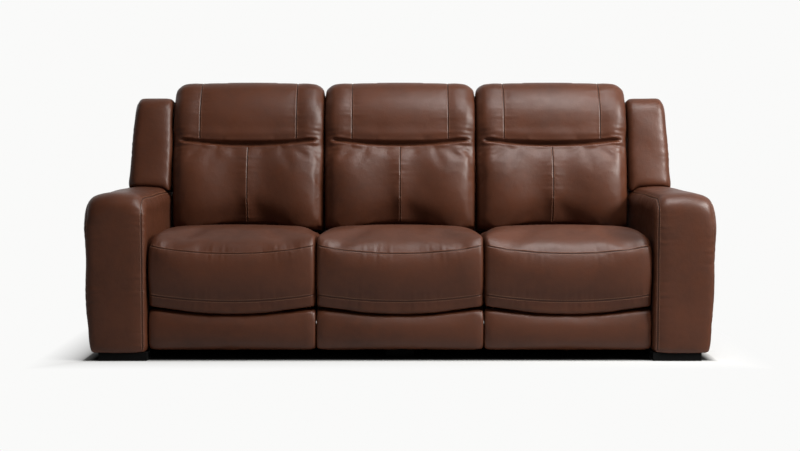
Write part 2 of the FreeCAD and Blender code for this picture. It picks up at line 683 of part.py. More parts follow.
def release_bezel():
    """The cup in the arm's outer side that the release handle hangs in."""
    outer = SOFA_WIDTH / 2.0
    half = BEZEL_LENGTH / 2.0 - BEZEL_RIM
    cup = box(
        outer - BEZEL_DEPTH + BEZEL_BACK, outer, HANDLE_Y - half, HANDLE_Y + half,
        HANDLE_Z - BEZEL_HEIGHT / 2.0 + BEZEL_RIM, HANDLE_TOP_Z,
    )
    pivot = Part.makeCylinder(
        HANDLE_PIN_RADIUS + PIN_PLAY, 2.0 * half + BEZEL_RIM,
        FreeCAD.Vector(HANDLE_PIN_X, HANDLE_Y - half - BEZEL_RIM / 2.0, HANDLE_PIN_Z), FreeCAD.Vector(0, 1, 0),
    )
    return bezel_space().cut(cup).cut(pivot)


def release_handle():
    """A paddle on a pin; pulling its lower edge outwards lets the seat go."""
    half = BEZEL_LENGTH / 2.0 - BEZEL_RIM - HANDLE_CLEARANCE
    reach = HANDLE_THICKNESS / 2.0
    paddle = box(
        HANDLE_PIN_X - reach, HANDLE_PIN_X + reach, HANDLE_Y - half, HANDLE_Y + half,
        HANDLE_PIN_Z - HANDLE_HEIGHT, HANDLE_PIN_Z,
    )
    barrel = Part.makeCylinder(
        reach, 2.0 * half, FreeCAD.Vector(HANDLE_PIN_X, HANDLE_Y - half, HANDLE_PIN_Z), FreeCAD.Vector(0, 1, 0),
    )
    pin_half = half + HANDLE_CLEARANCE + BEZEL_RIM / 2.0 - 0.5
    pin = Part.makeCylinder(
        HANDLE_PIN_RADIUS, 2.0 * pin_half,
        FreeCAD.Vector(HANDLE_PIN_X, HANDLE_Y - pin_half, HANDLE_PIN_Z), FreeCAD.Vector(0, 1, 0),
    )
    return paddle.multiFuse([barrel, pin]).removeSplitter()


def wing():
    """The padded side wing above the arm, leaning with the backs."""
    inner = ARM_INNER_X
    outer = inner + WING_WIDTH
    top_w = (WING_HEIGHT - BACK_HINGE_Z) / math.cos(math.radians(BACK_LEAN)) - WING_TOP_CROWN
    wires = []
    for x, inset in ((inner, 6.0), (inner + 22.0, 0.0), (outer - 26.0, 1.0), (outer, 20.0)):
        front = BACK_FRONT_U + 4.0 + inset
        top = top_w - inset
        points = (
            (front, WING_BOTTOM_W), (front, top - WING_FRONT_ROUND), (front + WING_TOP_ROUND, top),
            (WING_FLAT_U, top), (WING_REAR_TOP_U - inset / 2.0, top - WING_REAR_DROP),
            (WING_REAR_LOW_U - inset / 2.0, WING_BOTTOM_W),
        )
        wires.append(bulged_wire(points, (-8.0, -13.0, -3.0, -5.0, 0.0, 0.0), in_back(x)))
    return faceted_loft(wires).cut(arm_solid())


def rear_lower_panel():
    half = ARM_INNER_X
    return box(
        -half, half, ARM_REAR_Y - REAR_PANEL_THICKNESS, ARM_REAR_Y, FOOT_HEIGHT, REAR_PANEL_TOP_Z,
    )


def middle_base_frame():
    """Two side panels and two cross boards under the middle seat."""
    half = HALF_MODULE
    inner = half - BASE_PANEL
    parts = []
    for x0 in (-half, inner):
        parts.append(box(x0, x0 + BASE_PANEL, BASE_FRONT_Y, BASE_REAR_Y, RAIL_TOP_Z, BASE_TOP_Z))
    for y0 in (BASE_FRONT_Y, BASE_REAR_Y - BASE_PANEL):
        parts.append(box(-inner, inner, y0, y0 + BASE_PANEL, RAIL_TOP_Z, BASE_TOP_Z))
    cover_low = back_point(BACK_FRAME_DEPTH, BACK_FRAME_BOTTOM_W)
    step = box(-half, half, cover_low[0] - COVER_WALL, BASE_REAR_Y, cover_low[1] - COVER_WALL, BASE_TOP_Z)
    return parts[0].multiFuse(parts[1:]).cut(step).removeSplitter()


def middle_back_posts():
    """Posts that carry the fixed back's frame on the side panels of the base."""
    outer = HALF_MODULE - BASE_PANEL
    inner = GUIDE_A_X - 1.0
    posts = []
    for x0, x1 in ((-outer, -inner), (inner, outer)):
        posts.append(box(
            x0, x1, BACK_HINGE_Y + 20.0, BACK_HINGE_Y + 110.0, RAIL_TOP_Z + 60.0, BASE_TOP_Z + 60.0,
        ))
    return posts


def corner_foot(front_y):
    x0 = ARM_INNER_X
    return box(x0, x0 + FOOT_WIDTH, front_y, front_y + FOOT_DEPTH, 0.0, FOOT_HEIGHT)


def middle_foot(front_y, height):
    half = MIDDLE_FOOT_WIDTH / 2.0
    return box(-half, half, front_y, front_y + MIDDLE_FOOT_DEPTH, 0.0, height)


def mirrored_if(shape, side):
    if side > 0:
        return shape
    return shape.mirror(FreeCAD.Vector(0, 0, 0), FreeCAD.Vector(1, 0, 0))


def moved(shape, x):
    return shape.translated(FreeCAD.Vector(x, 0, 0))


def make_nodes():
    nodes = {}
    for side_name, side in SIDES:
        nodes[side_name + "_arm_frame"] = mirrored_if(arm_frame(), side)
        nodes[side_name + "_arm_cover"] = mirrored_if(arm_cover(), side)
        nodes[side_name + "_wing"] = mirrored_if(wing(), side)
        nodes["front_" + side_name + "_foot"] = mirrored_if(corner_foot(FOOT_FRONT_Y), side)
        nodes["rear_" + side_name + "_foot"] = mirrored_if(corner_foot(FOOT_REAR_Y), side)
        nodes[side_name + "_release_bezel"] = mirrored_if(release_bezel(), side)
        nodes[side_name + "_release_handle"] = mirrored_if(release_handle(), side)
    nodes["mid_base_rail"] = base_rail(MID_RAIL_Y)
    nodes["rear_base_rail"] = base_rail(REAR_RAIL_Y)
    nodes["rear_lower_panel"] = rear_lower_panel()
    nodes["front_middle_foot"] = middle_foot(BASE_FRONT_Y, RAIL_TOP_Z)
    nodes["rear_middle_foot"] = middle_foot(REAR_RAIL_Y - 10.0, RAIL_BOTTOM_Z)
    nodes["middle_base_frame"] = middle_base_frame()
    nodes["middle_front_panel"] = panel_pad(BASE_FRONT_Y)
    nodes["middle_seat_frame"] = seat_frame()
    nodes["middle_seat_straps"] = seat_straps()
    nodes["middle_seat_cushion"] = seat_cushion()
    posts = middle_back_posts()
    nodes["middle_back_frame"] = back_frame(False).multiFuse(posts).removeSplitter()
    nodes["middle_back_cushion"] = back_cushion()
    nodes["middle_back_rear_cover"] = back_rear_cover().cut(posts)
    recliner = {
        "mechanism_base": mechanism_base(),
        "front_swing_links": swing_links(FRONT_SWING_TOP, FRONT_SWING_FOOT),
        "rear_swing_links": swing_links(REAR_SWING_TOP, REAR_SWING_FOOT),
        "seat_plates": seat_plates(),
        "seat_frame": seat_frame(),
        "seat_straps": seat_straps(),
        "seat_cushion": seat_cushion(),
        "back_frame": back_frame(True),
        "back_cushion": back_cushion(),
        "back_rear_cover": back_rear_cover(),
        "footrest_link_a": link_a(),
        "footrest_link_b": link_b(),
        "footrest_guide_a": guide_a(),
        "footrest_guide_b": guide_b(),
        "footrest_frame": footrest_frame(),
        "footrest_pad": panel_pad(PANEL_BACK_Y - FOOTREST_PLATE),
    }
    for side_name, side in SIDES:
        for name, shape in recliner.items():
            nodes[side_name + "_" + name] = moved(shape, side * MODULE_PITCH)
    return nodes


NODES = make_nodes()
for node_name, node_shape in NODES.items():
    solids = node_shape.Solids
    good = all(solid.isValid() and solid.Volume > 0.0 for solid in solids)
    print(node_name, len(solids), "valid" if good else "NOT VALID", round(node_shape.Volume / 1000.0))
    node_shape.exportStep("parts/" + node_name + ".step")
print(len(NODES), "nodes")
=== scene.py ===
"""Reclining sofa: sewn and padded leather, finishes and stage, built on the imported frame.

Metres, in the frame's own axes: X to the right, Y to the rear, Z up.
"""
import json
import math

import bmesh
import bpy
import numpy as np
from bpy.props import FloatProperty, FloatVectorProperty, PointerProperty
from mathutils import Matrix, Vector
from mathutils.bvhtree import BVHTree
from mathutils.kdtree import KDTree

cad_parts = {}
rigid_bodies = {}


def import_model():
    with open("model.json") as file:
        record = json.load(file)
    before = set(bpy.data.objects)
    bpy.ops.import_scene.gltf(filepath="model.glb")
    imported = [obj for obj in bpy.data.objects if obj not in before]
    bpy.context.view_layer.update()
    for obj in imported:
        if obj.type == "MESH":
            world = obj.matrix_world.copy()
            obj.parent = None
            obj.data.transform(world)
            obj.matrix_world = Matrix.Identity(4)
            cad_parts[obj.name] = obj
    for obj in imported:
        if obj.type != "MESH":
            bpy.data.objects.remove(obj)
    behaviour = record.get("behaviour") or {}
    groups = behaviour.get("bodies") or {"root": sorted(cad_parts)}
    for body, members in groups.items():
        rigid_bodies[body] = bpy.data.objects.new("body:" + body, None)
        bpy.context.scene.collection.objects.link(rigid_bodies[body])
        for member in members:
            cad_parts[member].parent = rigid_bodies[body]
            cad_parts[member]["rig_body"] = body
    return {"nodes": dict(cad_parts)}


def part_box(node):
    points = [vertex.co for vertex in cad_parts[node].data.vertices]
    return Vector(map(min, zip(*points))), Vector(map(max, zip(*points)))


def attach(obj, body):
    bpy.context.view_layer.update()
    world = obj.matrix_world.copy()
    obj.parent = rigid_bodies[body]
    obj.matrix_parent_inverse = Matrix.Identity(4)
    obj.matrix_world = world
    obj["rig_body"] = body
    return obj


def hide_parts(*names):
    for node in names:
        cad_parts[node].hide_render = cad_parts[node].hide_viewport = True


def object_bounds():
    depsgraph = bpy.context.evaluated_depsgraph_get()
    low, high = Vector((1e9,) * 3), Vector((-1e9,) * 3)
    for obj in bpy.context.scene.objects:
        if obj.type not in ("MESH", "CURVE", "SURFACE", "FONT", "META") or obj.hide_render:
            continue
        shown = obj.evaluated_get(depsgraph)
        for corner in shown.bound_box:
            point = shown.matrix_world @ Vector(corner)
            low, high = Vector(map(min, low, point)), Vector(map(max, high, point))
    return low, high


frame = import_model()
CAD_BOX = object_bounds()
NODES = frame["nodes"]

bl_info = {
    "name": "Reclining sofa upholstery",
    "version": (1, 0, 0),
    "blender": (4, 5, 0),
    "location": "View3D > Sidebar > Sofa",
    "description": "Pads, sews and finishes a three-place reclining sofa on its frame",
    "category": "Object",
}

PLACES = (("left", -1.0), ("middle", 0.0), ("right", 1.0))
SIDES = (("left", -1.0), ("right", 1.0))
ARM_LOW, ARM_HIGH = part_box("right_arm_cover")
SEAT_LOW, SEAT_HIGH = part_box("middle_seat_cushion")
HALF_CUSHION = SEAT_HIGH.x
MODULE_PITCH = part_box("right_seat_cushion")[1].x - HALF_CUSHION
HALF_LEATHER = MODULE_PITCH / 2 - 0.001  # leaves a fine line between neighbours
HINGE_Y = 0.150
HINGE_Z = 0.260
LEAN = math.radians(12.0)
UPPER_SEAM_Z = 0.384
UPPER_SIDE_RISE = 0.028
LOWER_SEAM_Z = 0.212
LOWER_SIDE_RISE = 0.023
CREASE_W = 0.510
CREASE_DROP = 0.017  # how far the leather pulls the crease below the foam's
CREASE_SIDE_RISE = 0.020
HEAD_SEAM_X = 0.190
BACK_TOP_W = 0.765
BAND_INNER_X = ARM_LOW.x + 0.013
BAND_OUTER_X = ARM_HIGH.x - 0.014
WING_X = (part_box("right_wing")[0].x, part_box("right_wing")[1].x)
TRACE_PITCH = 0.002
ROW_GAP = 0.0055  # from a seam to the thread beside it
BOTH_SIDES = (-ROW_GAP, ROW_GAP)
FAR_OFF = 0.4  # where the rays that look for a seam start
FILL_FRAMES = 16


class SofaLeather(bpy.types.PropertyGroup):
    colour: FloatVectorProperty(
        name="Leather colour", description="Middle tone of the brown leather",
        subtype="COLOR", size=3, min=0.0, max=1.0, default=(0.063, 0.0188, 0.0077),
    )
    rear_colour: FloatVectorProperty(
        name="Rear leather colour", description="Middle tone of the matching leather at the rear",
        subtype="COLOR", size=3, min=0.0, max=1.0, default=(0.055, 0.0172, 0.0078),
    )
    thread_colour: FloatVectorProperty(
        name="Thread colour", description="Colour of the sewing thread",
        subtype="COLOR", size=3, min=0.0, max=1.0, default=(0.185, 0.075, 0.036),
    )
    grain_scale: FloatProperty(
        name="Grain scale", description="Grain cells to the metre", default=520.0, min=50.0,
    )
    roughness: FloatProperty(
        name="Roughness", description="Middle roughness of the leather", default=0.43, min=0.0, max=1.0,
    )


class SofaPadding(bpy.types.PropertyGroup):
    pitch: FloatProperty(
        name="Cushion pitch", description="Spacing of a cushion's mesh as it is filled",
        default=0.014, min=0.003, unit="LENGTH",
    )
    cover_pitch: FloatProperty(
        name="Cover pitch", description="Spacing of a tight cover's mesh before it is refined",
        default=0.010, min=0.003, unit="LENGTH",
    )
    pressure: FloatProperty(
        name="Pressure", description="Cloth pressure that fills a cushion", default=4.0, min=0.0,
    )
    swell: FloatProperty(
        name="Swell", description="Furthest that the leather may move as it fills",
        default=0.022, min=0.0, unit="LENGTH",
    )
    draw_in: FloatProperty(
        name="Draw in", description="How far a cushion starts inside its own form",
        default=0.007, min=0.0, unit="LENGTH",
    )
    seam_depth: FloatProperty(
        name="Seam depth", description="Depth of the fine line where two panels meet",
        default=0.0022, min=0.0, unit="LENGTH",
    )
    seam_dip: FloatProperty(
        name="Seam dip", description="How far the padding sinks towards a seam",
        default=0.0045, min=0.0, unit="LENGTH",
    )
    stitch_pitch: FloatProperty(
        name="Stitch pitch", description="Distance from one stitch to the next",
        default=0.0068, min=0.001, unit="LENGTH",
    )
    stitch_radius: FloatProperty(
        name="Thread radius", description="Half the thickness of the sewing thread",
        default=0.0007, min=0.0001, unit="LENGTH",
    )


class SofaStage(bpy.types.PropertyGroup):
    backdrop: FloatVectorProperty(
        name="Backdrop colour", description="Colour of the floor and of what lies behind",
        subtype="COLOR", size=3, min=0.0, max=1.0, default=(0.955, 0.955, 0.948),
    )
    camera_distance: FloatProperty(
        name="Camera distance", description="From the sofa's middle to the camera",
        default=5.575, min=1.0, unit="LENGTH",
    )
    camera_height: FloatProperty(
        name="Camera height", description="Height of the camera over the floor",
        default=0.84, min=0.0, unit="LENGTH",
    )
    camera_tilt: FloatProperty(
        name="Camera tilt", description="How far the camera looks down",
        default=math.radians(3.99), subtype="ANGLE",
    )
    lens: FloatProperty(name="Lens", description="Focal length in millimetres", default=65.1, min=10.0)


# Mesh work
def points_of(piece):
    co = np.empty(len(piece.data.vertices) * 3, np.float32)
    piece.data.vertices.foreach_get("co", co)
    return co.reshape(-1, 3).astype(float)


def normals_of(piece):
    found = np.empty(len(piece.data.vertices) * 3, np.float32)
    piece.data.vertices.foreach_get("normal", found)
    return found.reshape(-1, 3).astype(float)


def move_points(piece, co):
    piece.data.vertices.foreach_set("co", co.astype(np.float32).ravel())
    piece.data.update()


def settle(piece):
    """Replaces a piece's mesh by what its modifiers make of it."""
    old = piece.data
    shown = piece.evaluated_get(bpy.context.evaluated_depsgraph_get())
    made = bpy.data.meshes.new_from_object(shown)
    piece.modifiers.clear()
    piece.data = made
    bpy.data.meshes.remove(old)


def even_copy(name, node, pitch):
    """A closed, evenly meshed copy of a node's solid, to be padded and sewn."""
    mesh = NODES[node].data.copy()
    mesh.materials.clear()
    weld = bmesh.new()
    weld.from_mesh(mesh)
    bmesh.ops.remove_doubles(weld, verts=weld.verts, dist=1e-5)
    weld.to_mesh(mesh)
    weld.free()
    piece = bpy.data.objects.new(name, mesh)
    bpy.context.scene.collection.objects.link(piece)
    even = piece.modifiers.new("Even", "REMESH")
    even.mode = "VOXEL"
    even.voxel_size = pitch
    settle(piece)
    return piece


def relax(piece, rounds, plain=0, held=None):
    """Smooths the leather's surface; plain rounds also round its edges."""
    co = points_of(piece)
    pairs = np.empty(len(piece.data.edges) * 2, np.int32)
    piece.data.edges.foreach_get("vertices", pairs)
    a, b = pairs.reshape(-1, 2).T
    count = len(co)
    met = (np.bincount(a, minlength=count) + np.bincount(b, minlength=count)).clip(1)
    shares = (0.5,) * plain + (0.5, -0.53) * rounds
    free = 1.0 if held is None else (1.0 - held)[:, None]
    for share in shares:
        mean = np.stack([
            np.bincount(a, co[b, k], count) + np.bincount(b, co[a, k], count) for k in range(3)
        ], axis=1) / met[:, None]
        co = co + (mean - co) * share * free
    move_points(piece, co)


def inflate(piece, held, padding, slack=0.0):
    """Fills the cushion with Cloth under pressure; no point moves further than the swell."""
    start = points_of(piece)
    group = piece.vertex_groups.new(name="Held")
    for weight, picked in ((1.0, held > 0.75), (0.4, (held > 0.2) & (held <= 0.75))):
        group.add(np.nonzero(picked)[0].tolist(), weight, "REPLACE")
    cloth = piece.modifiers.new("Fill", "CLOTH")
    how = cloth.settings
    how.quality = 3
    how.mass = 0.35
    how.tension_stiffness = 18.0
    how.compression_stiffness = 18.0
    how.shear_stiffness = 8.0
    how.bending_stiffness = 6.0
    how.vertex_group_mass = "Held"
    how.pin_stiffness = 1.0
    how.shrink_min = -slack
    how.use_pressure = True
    how.uniform_pressure_force = padding.pressure
    how.effector_weights.gravity = 0.0
    cloth.point_cache.frame_start = 1
    cloth.point_cache.frame_end = FILL_FRAMES
    for number in range(1, FILL_FRAMES + 1):
        bpy.context.scene.frame_set(number)
    settle(piece)
    bpy.context.scene.frame_set(1)
    move = points_of(piece) - start
    far = np.linalg.norm(move, axis=1)
    kept = padding.swell * np.tanh(far / padding.swell) / far.clip(1e-9)
    move_points(piece, start + move * kept[:, None])
    piece.vertex_groups.clear()


def subdivide(piece, levels=1):
    finer = piece.modifiers.new("Finer", "SUBSURF")
    finer.levels = finer.render_levels = levels
    settle(piece)


def rolled(far, radius):
    """Nought before the last radius of a side, growing as a quarter round to one at its end."""
    share = np.clip((far + radius) / radius, 0.0, 1.0)
    return 1.0 - np.sqrt(1.0 - share ** 2)


def tree_of(piece):
    mesh = piece.data
    return BVHTree.FromPolygons(
        [v.co for v in mesh.vertices], [tuple(p.vertices) for p in mesh.polygons], epsilon=0.0
    )


def run_of(line):
    """How far along a line each of its points lies."""
    return np.concatenate([[0.0], np.cumsum(np.linalg.norm(np.diff(line, axis=0), axis=1))])


def trace(tree, rays):
    """Points on the leather, evenly spaced, where a line of rays meets it."""
    reach, largest_step = 1.2, 0.05
    hits = []
    for start, aim in rays:
        place = tree.ray_cast(Vector(start), Vector(aim).normalized(), reach)[0]
        if place is not None and (not hits or (place - Vector(hits[-1])).length < largest_step):
            hits.append(tuple(place))
    if len(hits) < 3:
        raise RuntimeError("a seam's rays missed the leather")
    line = np.array(hits)
    run = run_of(line)
    steps = np.linspace(0.0, run[-1], max(3, int(run[-1] / TRACE_PITCH)))
    return np.stack([np.interp(steps, run, line[:, k]) for k in range(3)], axis=1)


def near_line(co, line, reach):
    """For the points near a line: their indices, distances and places along it."""
    low, high = line.min(0) - reach, line.max(0) + reach
    picked = np.nonzero(((co > low) & (co < high)).all(1))[0]
    tree = KDTree(len(line))
    for index, place in enumerate(line):
        tree.insert(place, index)
    tree.balance()
    found = [tree.find(co[i])[1:] for i in picked]
    along = np.array([f[0] for f in found], int)
    far = np.array([f[1] for f in found], float)
    close = far < reach
    return picked[close], far[close], along[close]


def refine_near(piece, lines, reach=0.011):
    """Splits the faces along the seams, so that a fine line can be sunk there."""
    co = points_of(piece)
    wanted = np.zeros(len(co), bool)
    for line in lines:
        wanted[near_line(co, line, reach)[0]] = True
    work = bmesh.new()
    work.from_mesh(piece.data)
    work.verts.ensure_lookup_table()
    edges = [e for e in work.edges if wanted[e.verts[0].index] and wanted[e.verts[1].index]]
    bmesh.ops.subdivide_edges(work, edges=edges, cuts=1, use_grid_fill=True)
    work.to_mesh(piece.data)
    work.free()


def gather(along, seed):
    """Uneven small folds along a seam, from about minus one to one."""
    turn = along * TRACE_PITCH * 2 * math.pi
    folds = sum(
        np.sin(turn / wave + start * seed) * size
        for wave, start, size in ((0.031, 1.0, 0.5), (0.0187, 2.3, 0.3), (0.074, 4.1, 0.4))
    )
    return folds * (0.55 + 0.45 * np.sin(turn / 0.23 + seed))


def sew(piece, lines, padding, pucker, seed, dip):
    """Sinks the leather along each seam, gathers it beside the thread and keeps a narrow band on each seam
    that the leather finish darkens as painted shade.
    """
    reach, groove_width, dip_width, seam_shade_width = 0.075, 0.0022, 0.021, 0.0026
    fold_width, fold_start, fold_gain = 0.022, 0.009, 2.2
    refine_near(piece, lines)
    co = points_of(piece)
    inward = -normals_of(piece)
    sink = np.zeros(len(co))
    sewn = np.zeros(len(co))
    for number, line in enumerate(lines):
        picked, far, along = near_line(co, line, reach)
        groove = padding.seam_depth * np.exp(-((far / groove_width) ** 2))
        soft = padding.seam_dip * dip * np.exp(-((far / dip_width) ** 2))
        beside = np.exp(-far / fold_width) * (1.0 - np.exp(-((far / fold_start) ** 2)))
        folds = pucker * gather(along, seed + 1.7 * number) * beside * fold_gain
        sink[picked] += groove + soft + folds
        # Painted shade: a narrow band on each seam's groove, which the leather finish darkens
        sewn[picked] = np.maximum(sewn[picked], np.exp(-((far / seam_shade_width) ** 2)))
    move_points(piece, co + inward * sink[:, None])
    seam_shade = piece.data.attributes.new("Seam_painted_shade", "FLOAT", "POINT")
    seam_shade.data.foreach_set("value", sewn.astype(np.float32))


def stitch_rows(name, piece, lines, offsets, padding):
    """Rows of thread beside each seam, as one mesh that goes with the leather."""
    tree = tree_of(piece)
    pitch = padding.stitch_pitch
    radius = padding.stitch_radius
    # A stitch's rings: share of its length, width and lift in thread radii
    shape = ((0.0, 0.35, -0.7), (0.22, 1.0, 0.45), (0.78, 1.0, 0.45), (1.0, 0.35, -0.7))
    sides, end_gap, seen_share = 6, 0.002, 0.74
    verts, faces = [], []
    for line in lines:
        run = run_of(line)
        total = int((run[-1] - 2 * end_gap) / pitch)
        for offset in offsets:
            for number in range(total):
                at = end_gap + number * pitch
                ends = []
                for s in (at, at + pitch * seen_share):
                    ends.append(Vector([np.interp(s, run, line[:, k]) for k in range(3)]))
                along = (ends[1] - ends[0]).normalized()
                normal = tree.find_nearest(ends[0])[1]
                side = normal.cross(along).normalized()
                first, last = (tree.find_nearest(end + side * offset)[0] for end in ends)
                base = len(verts)
                for share, width, lift in shape:
                    centre = first.lerp(last, share) + normal * radius * lift
                    for k in range(sides):
                        angle = 2 * math.pi * k / sides
                        verts.append(
                            centre + (side * math.cos(angle) + normal * math.sin(angle)) * radius * width
                        )
                for ring in range(len(shape) - 1):
                    for k in range(sides):
                        a = base + ring * sides + k
                        b = base + ring * sides + (k + 1) % sides
                        faces.append((a, b, b + sides, a + sides))
                faces.append(tuple(base + k for k in reversed(range(sides))))
                last_ring = base + (len(shape) - 1) * sides
                faces.append(tuple(last_ring + k for k in range(sides)))
    mesh = bpy.data.meshes.new(name)
    mesh.from_pydata(verts, [], faces)
    rows = bpy.data.objects.new(name, mesh)
    bpy.context.scene.collection.objects.link(rows)
    mesh.shade_smooth()
    mesh.materials.append(finish("Sewing_thread"))
    return rows


def carry(piece, node, material):
    """Puts the finished piece on its node's body in place of the node."""
    piece.data.materials.clear()
    piece.data.materials.append(material)
    piece.data.shade_smooth()
    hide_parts(node)
    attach(piece, NODES[node]["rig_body"])


def upholster(name, piece, node, lines, look, kind=("Brown_leather", "leather"), offsets=BOTH_SIDES):
    """Sews a piece, puts it in place of its node and adds the thread beside its seams."""
    _, padding, _ = props()
    material, slot = kind
    sew(piece, lines, padding, *look)
    carry(piece, node, finish(material))
    rows = stitch_rows(name, piece, lines, offsets, padding)
    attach(rows, NODES[node]["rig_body"])


def press_sides(co, x0, share):
    """Fills the leather out to both sides and presses it flat where neighbours touch."""
    co[:, 0] = x0 + np.clip((co[:, 0] - x0) * share, -HALF_LEATHER, HALF_LEATHER)


def draw_inward(piece, held, depth):
    """Starts a cushion a little inside its own form, except where it is held and at its sides."""
    normals = normals_of(piece)
    free = (1.0 - held) * np.where(abs(normals[:, 0]) > 0.6, 0.0, 1.0)
    move_points(piece, points_of(piece) - normals * (depth * free)[:, None])


# Places in the leaning back frame and along a seat
def in_back(x, u, w):
    return (
        x,
        HINGE_Y + u * math.cos(LEAN) + w * math.sin(LEAN),
        HINGE_Z - u * math.sin(LEAN) + w * math.cos(LEAN),
    )


def lean_of(co):
    """U and W in the leaning back frame of many points."""
    y, z = co[:, 1] - HINGE_Y, co[:, 2] - HINGE_Z
    return y * math.cos(LEAN) - z * math.sin(LEAN), y * math.sin(LEAN) + z * math.cos(LEAN)


BACKWARD = (0.0, math.cos(LEAN), -math.sin(LEAN))
DOWNWARD = (0.0, -math.sin(LEAN), -math.cos(LEAN))


def seat_seam(x0, z, side_rise):
    """Across a seat's front, rising towards both sides."""
    half = HALF_CUSHION * 0.985
    return [
        ((x0 + x, -0.9, z + side_rise * (x / HALF_CUSHION) ** 2), (0, 1, 0))
        for x in np.linspace(-half, half, 150)
    ]


def crease_w(x):
    return CREASE_W - CREASE_DROP + CREASE_SIDE_RISE * (x / HALF_CUSHION) ** 2


def head_seam(x0, x):
    """Up the headrest's face and over its top."""
    nose_u, nose_w, out = -0.058, BACK_TOP_W - 0.055, 0.3
    rays = []
    for w in np.linspace(crease_w(x) + 0.012, nose_w, 60):
        rays.append((in_back(x0 + x, -FAR_OFF, w), BACKWARD))
    for turn in np.linspace(0.0, math.pi / 2, 24):
        u = nose_u - out * math.cos(turn)
        w = nose_w + out * math.sin(turn)
        aim = [a * math.cos(turn) + b * math.sin(turn) for a, b in zip(BACKWARD, DOWNWARD)]
        rays.append((in_back(x0 + x, u, w), aim))
    for u in np.linspace(-0.05, 0.03, 12):
        rays.append((in_back(x0 + x, u, BACK_TOP_W + 0.2), DOWNWARD))
    return rays


def centre_seam(x0):
    """Up the middle of the lumbar pillow."""
    return [(in_back(x0, -FAR_OFF, w), BACKWARD) for w in np.linspace(0.185, crease_w(0.0) - 0.016, 80)]


def arm_seam(x, low_z, rear_y):
    """Up the arm's front, round its nose and back along its top."""
    nose = 0.085
    y0, z0 = ARM_LOW.y + nose, ARM_HIGH.z - nose
    rays = []
    for z in np.linspace(low_z, z0, 90):
        rays.append(((x, ARM_LOW.y - FAR_OFF, z), (0, 1, 0)))
    for turn in np.linspace(0.0, math.pi / 2, 40):
        back, up = math.cos(turn), math.sin(turn)
        rays.append(((x, y0 - FAR_OFF * back, z0 + FAR_OFF * up), (0.0, back, -up)))
    for y in np.linspace(y0 + 0.005, rear_y, 160):
        rays.append(((x, y, ARM_HIGH.z + FAR_OFF), (0, 0, -1)))
    return rays


# Finishes
def node_of(tree, kind, **inputs):
    made = tree.nodes.new(kind)
    for key, value in inputs.items():
        made.inputs[key].default_value = value
    return made


def maths(tree, operation, *values):
    """A calculation with sockets or numbers."""
    made = tree.nodes.new("ShaderNodeMath")
    made.operation = operation
    for value, socket in zip(values, made.inputs):
        if hasattr(value, "is_linked"):
            tree.links.new(value, socket)
        else:
            socket.default_value = value
    return made.outputs[0]


def new_finish(name):
    material = bpy.data.materials.new(name)
    material.use_nodes = True
    tree = material.node_tree
    tree.nodes.clear()
    shader = tree.nodes.new("ShaderNodeBsdfPrincipled")
    out = tree.nodes.new("ShaderNodeOutputMaterial")
    tree.links.new(shader.outputs[0], out.inputs[0])
    place = tree.nodes.new("ShaderNodeTexCoord").outputs["Object"]
    return material, tree, shader, place


def noise(tree, place, scale, detail=3.0, roughness=0.55, distortion=0.0):
    made = node_of(tree, "ShaderNodeTexNoise", Scale=scale, Detail=detail, Distortion=distortion)
    made.inputs["Roughness"].default_value = roughness
    tree.links.new(place, made.inputs["Vector"])
    return made.outputs["Fac"]


def spread(tree, value, low, high, to_low, to_high):
    made = node_of(tree, "ShaderNodeMapRange")
    made.clamp = True
    for socket, number in zip(("From Min", "From Max", "To Min", "To Max"), (low, high, to_low, to_high)):
        made.inputs[socket].default_value = number
    tree.links.new(value, made.inputs["Value"])
    return made.outputs["Result"]


def blend_colours(tree, factor, a, b):
    made = node_of(tree, "ShaderNodeMix")
    made.data_type = "RGBA"
    tree.links.new(factor, made.inputs["Factor"])
    for socket, colour in ((made.inputs[6], a), (made.inputs[7], b)):
        if hasattr(colour, "is_linked"):
            tree.links.new(colour, socket)
        else:
            socket.default_value = (*colour, 1.0)
    return made.outputs[2]


def bump(tree, height, distance, strength, below=None):
    made = node_of(tree, "ShaderNodeBump", Strength=strength, Distance=distance)
    tree.links.new(height, made.inputs["Height"])
    if below is not None:
        tree.links.new(below, made.inputs["Normal"])
    return made.outputs[0]


def shade(colour, factor):
    return tuple(min(1.0, c * factor) for c in colour)


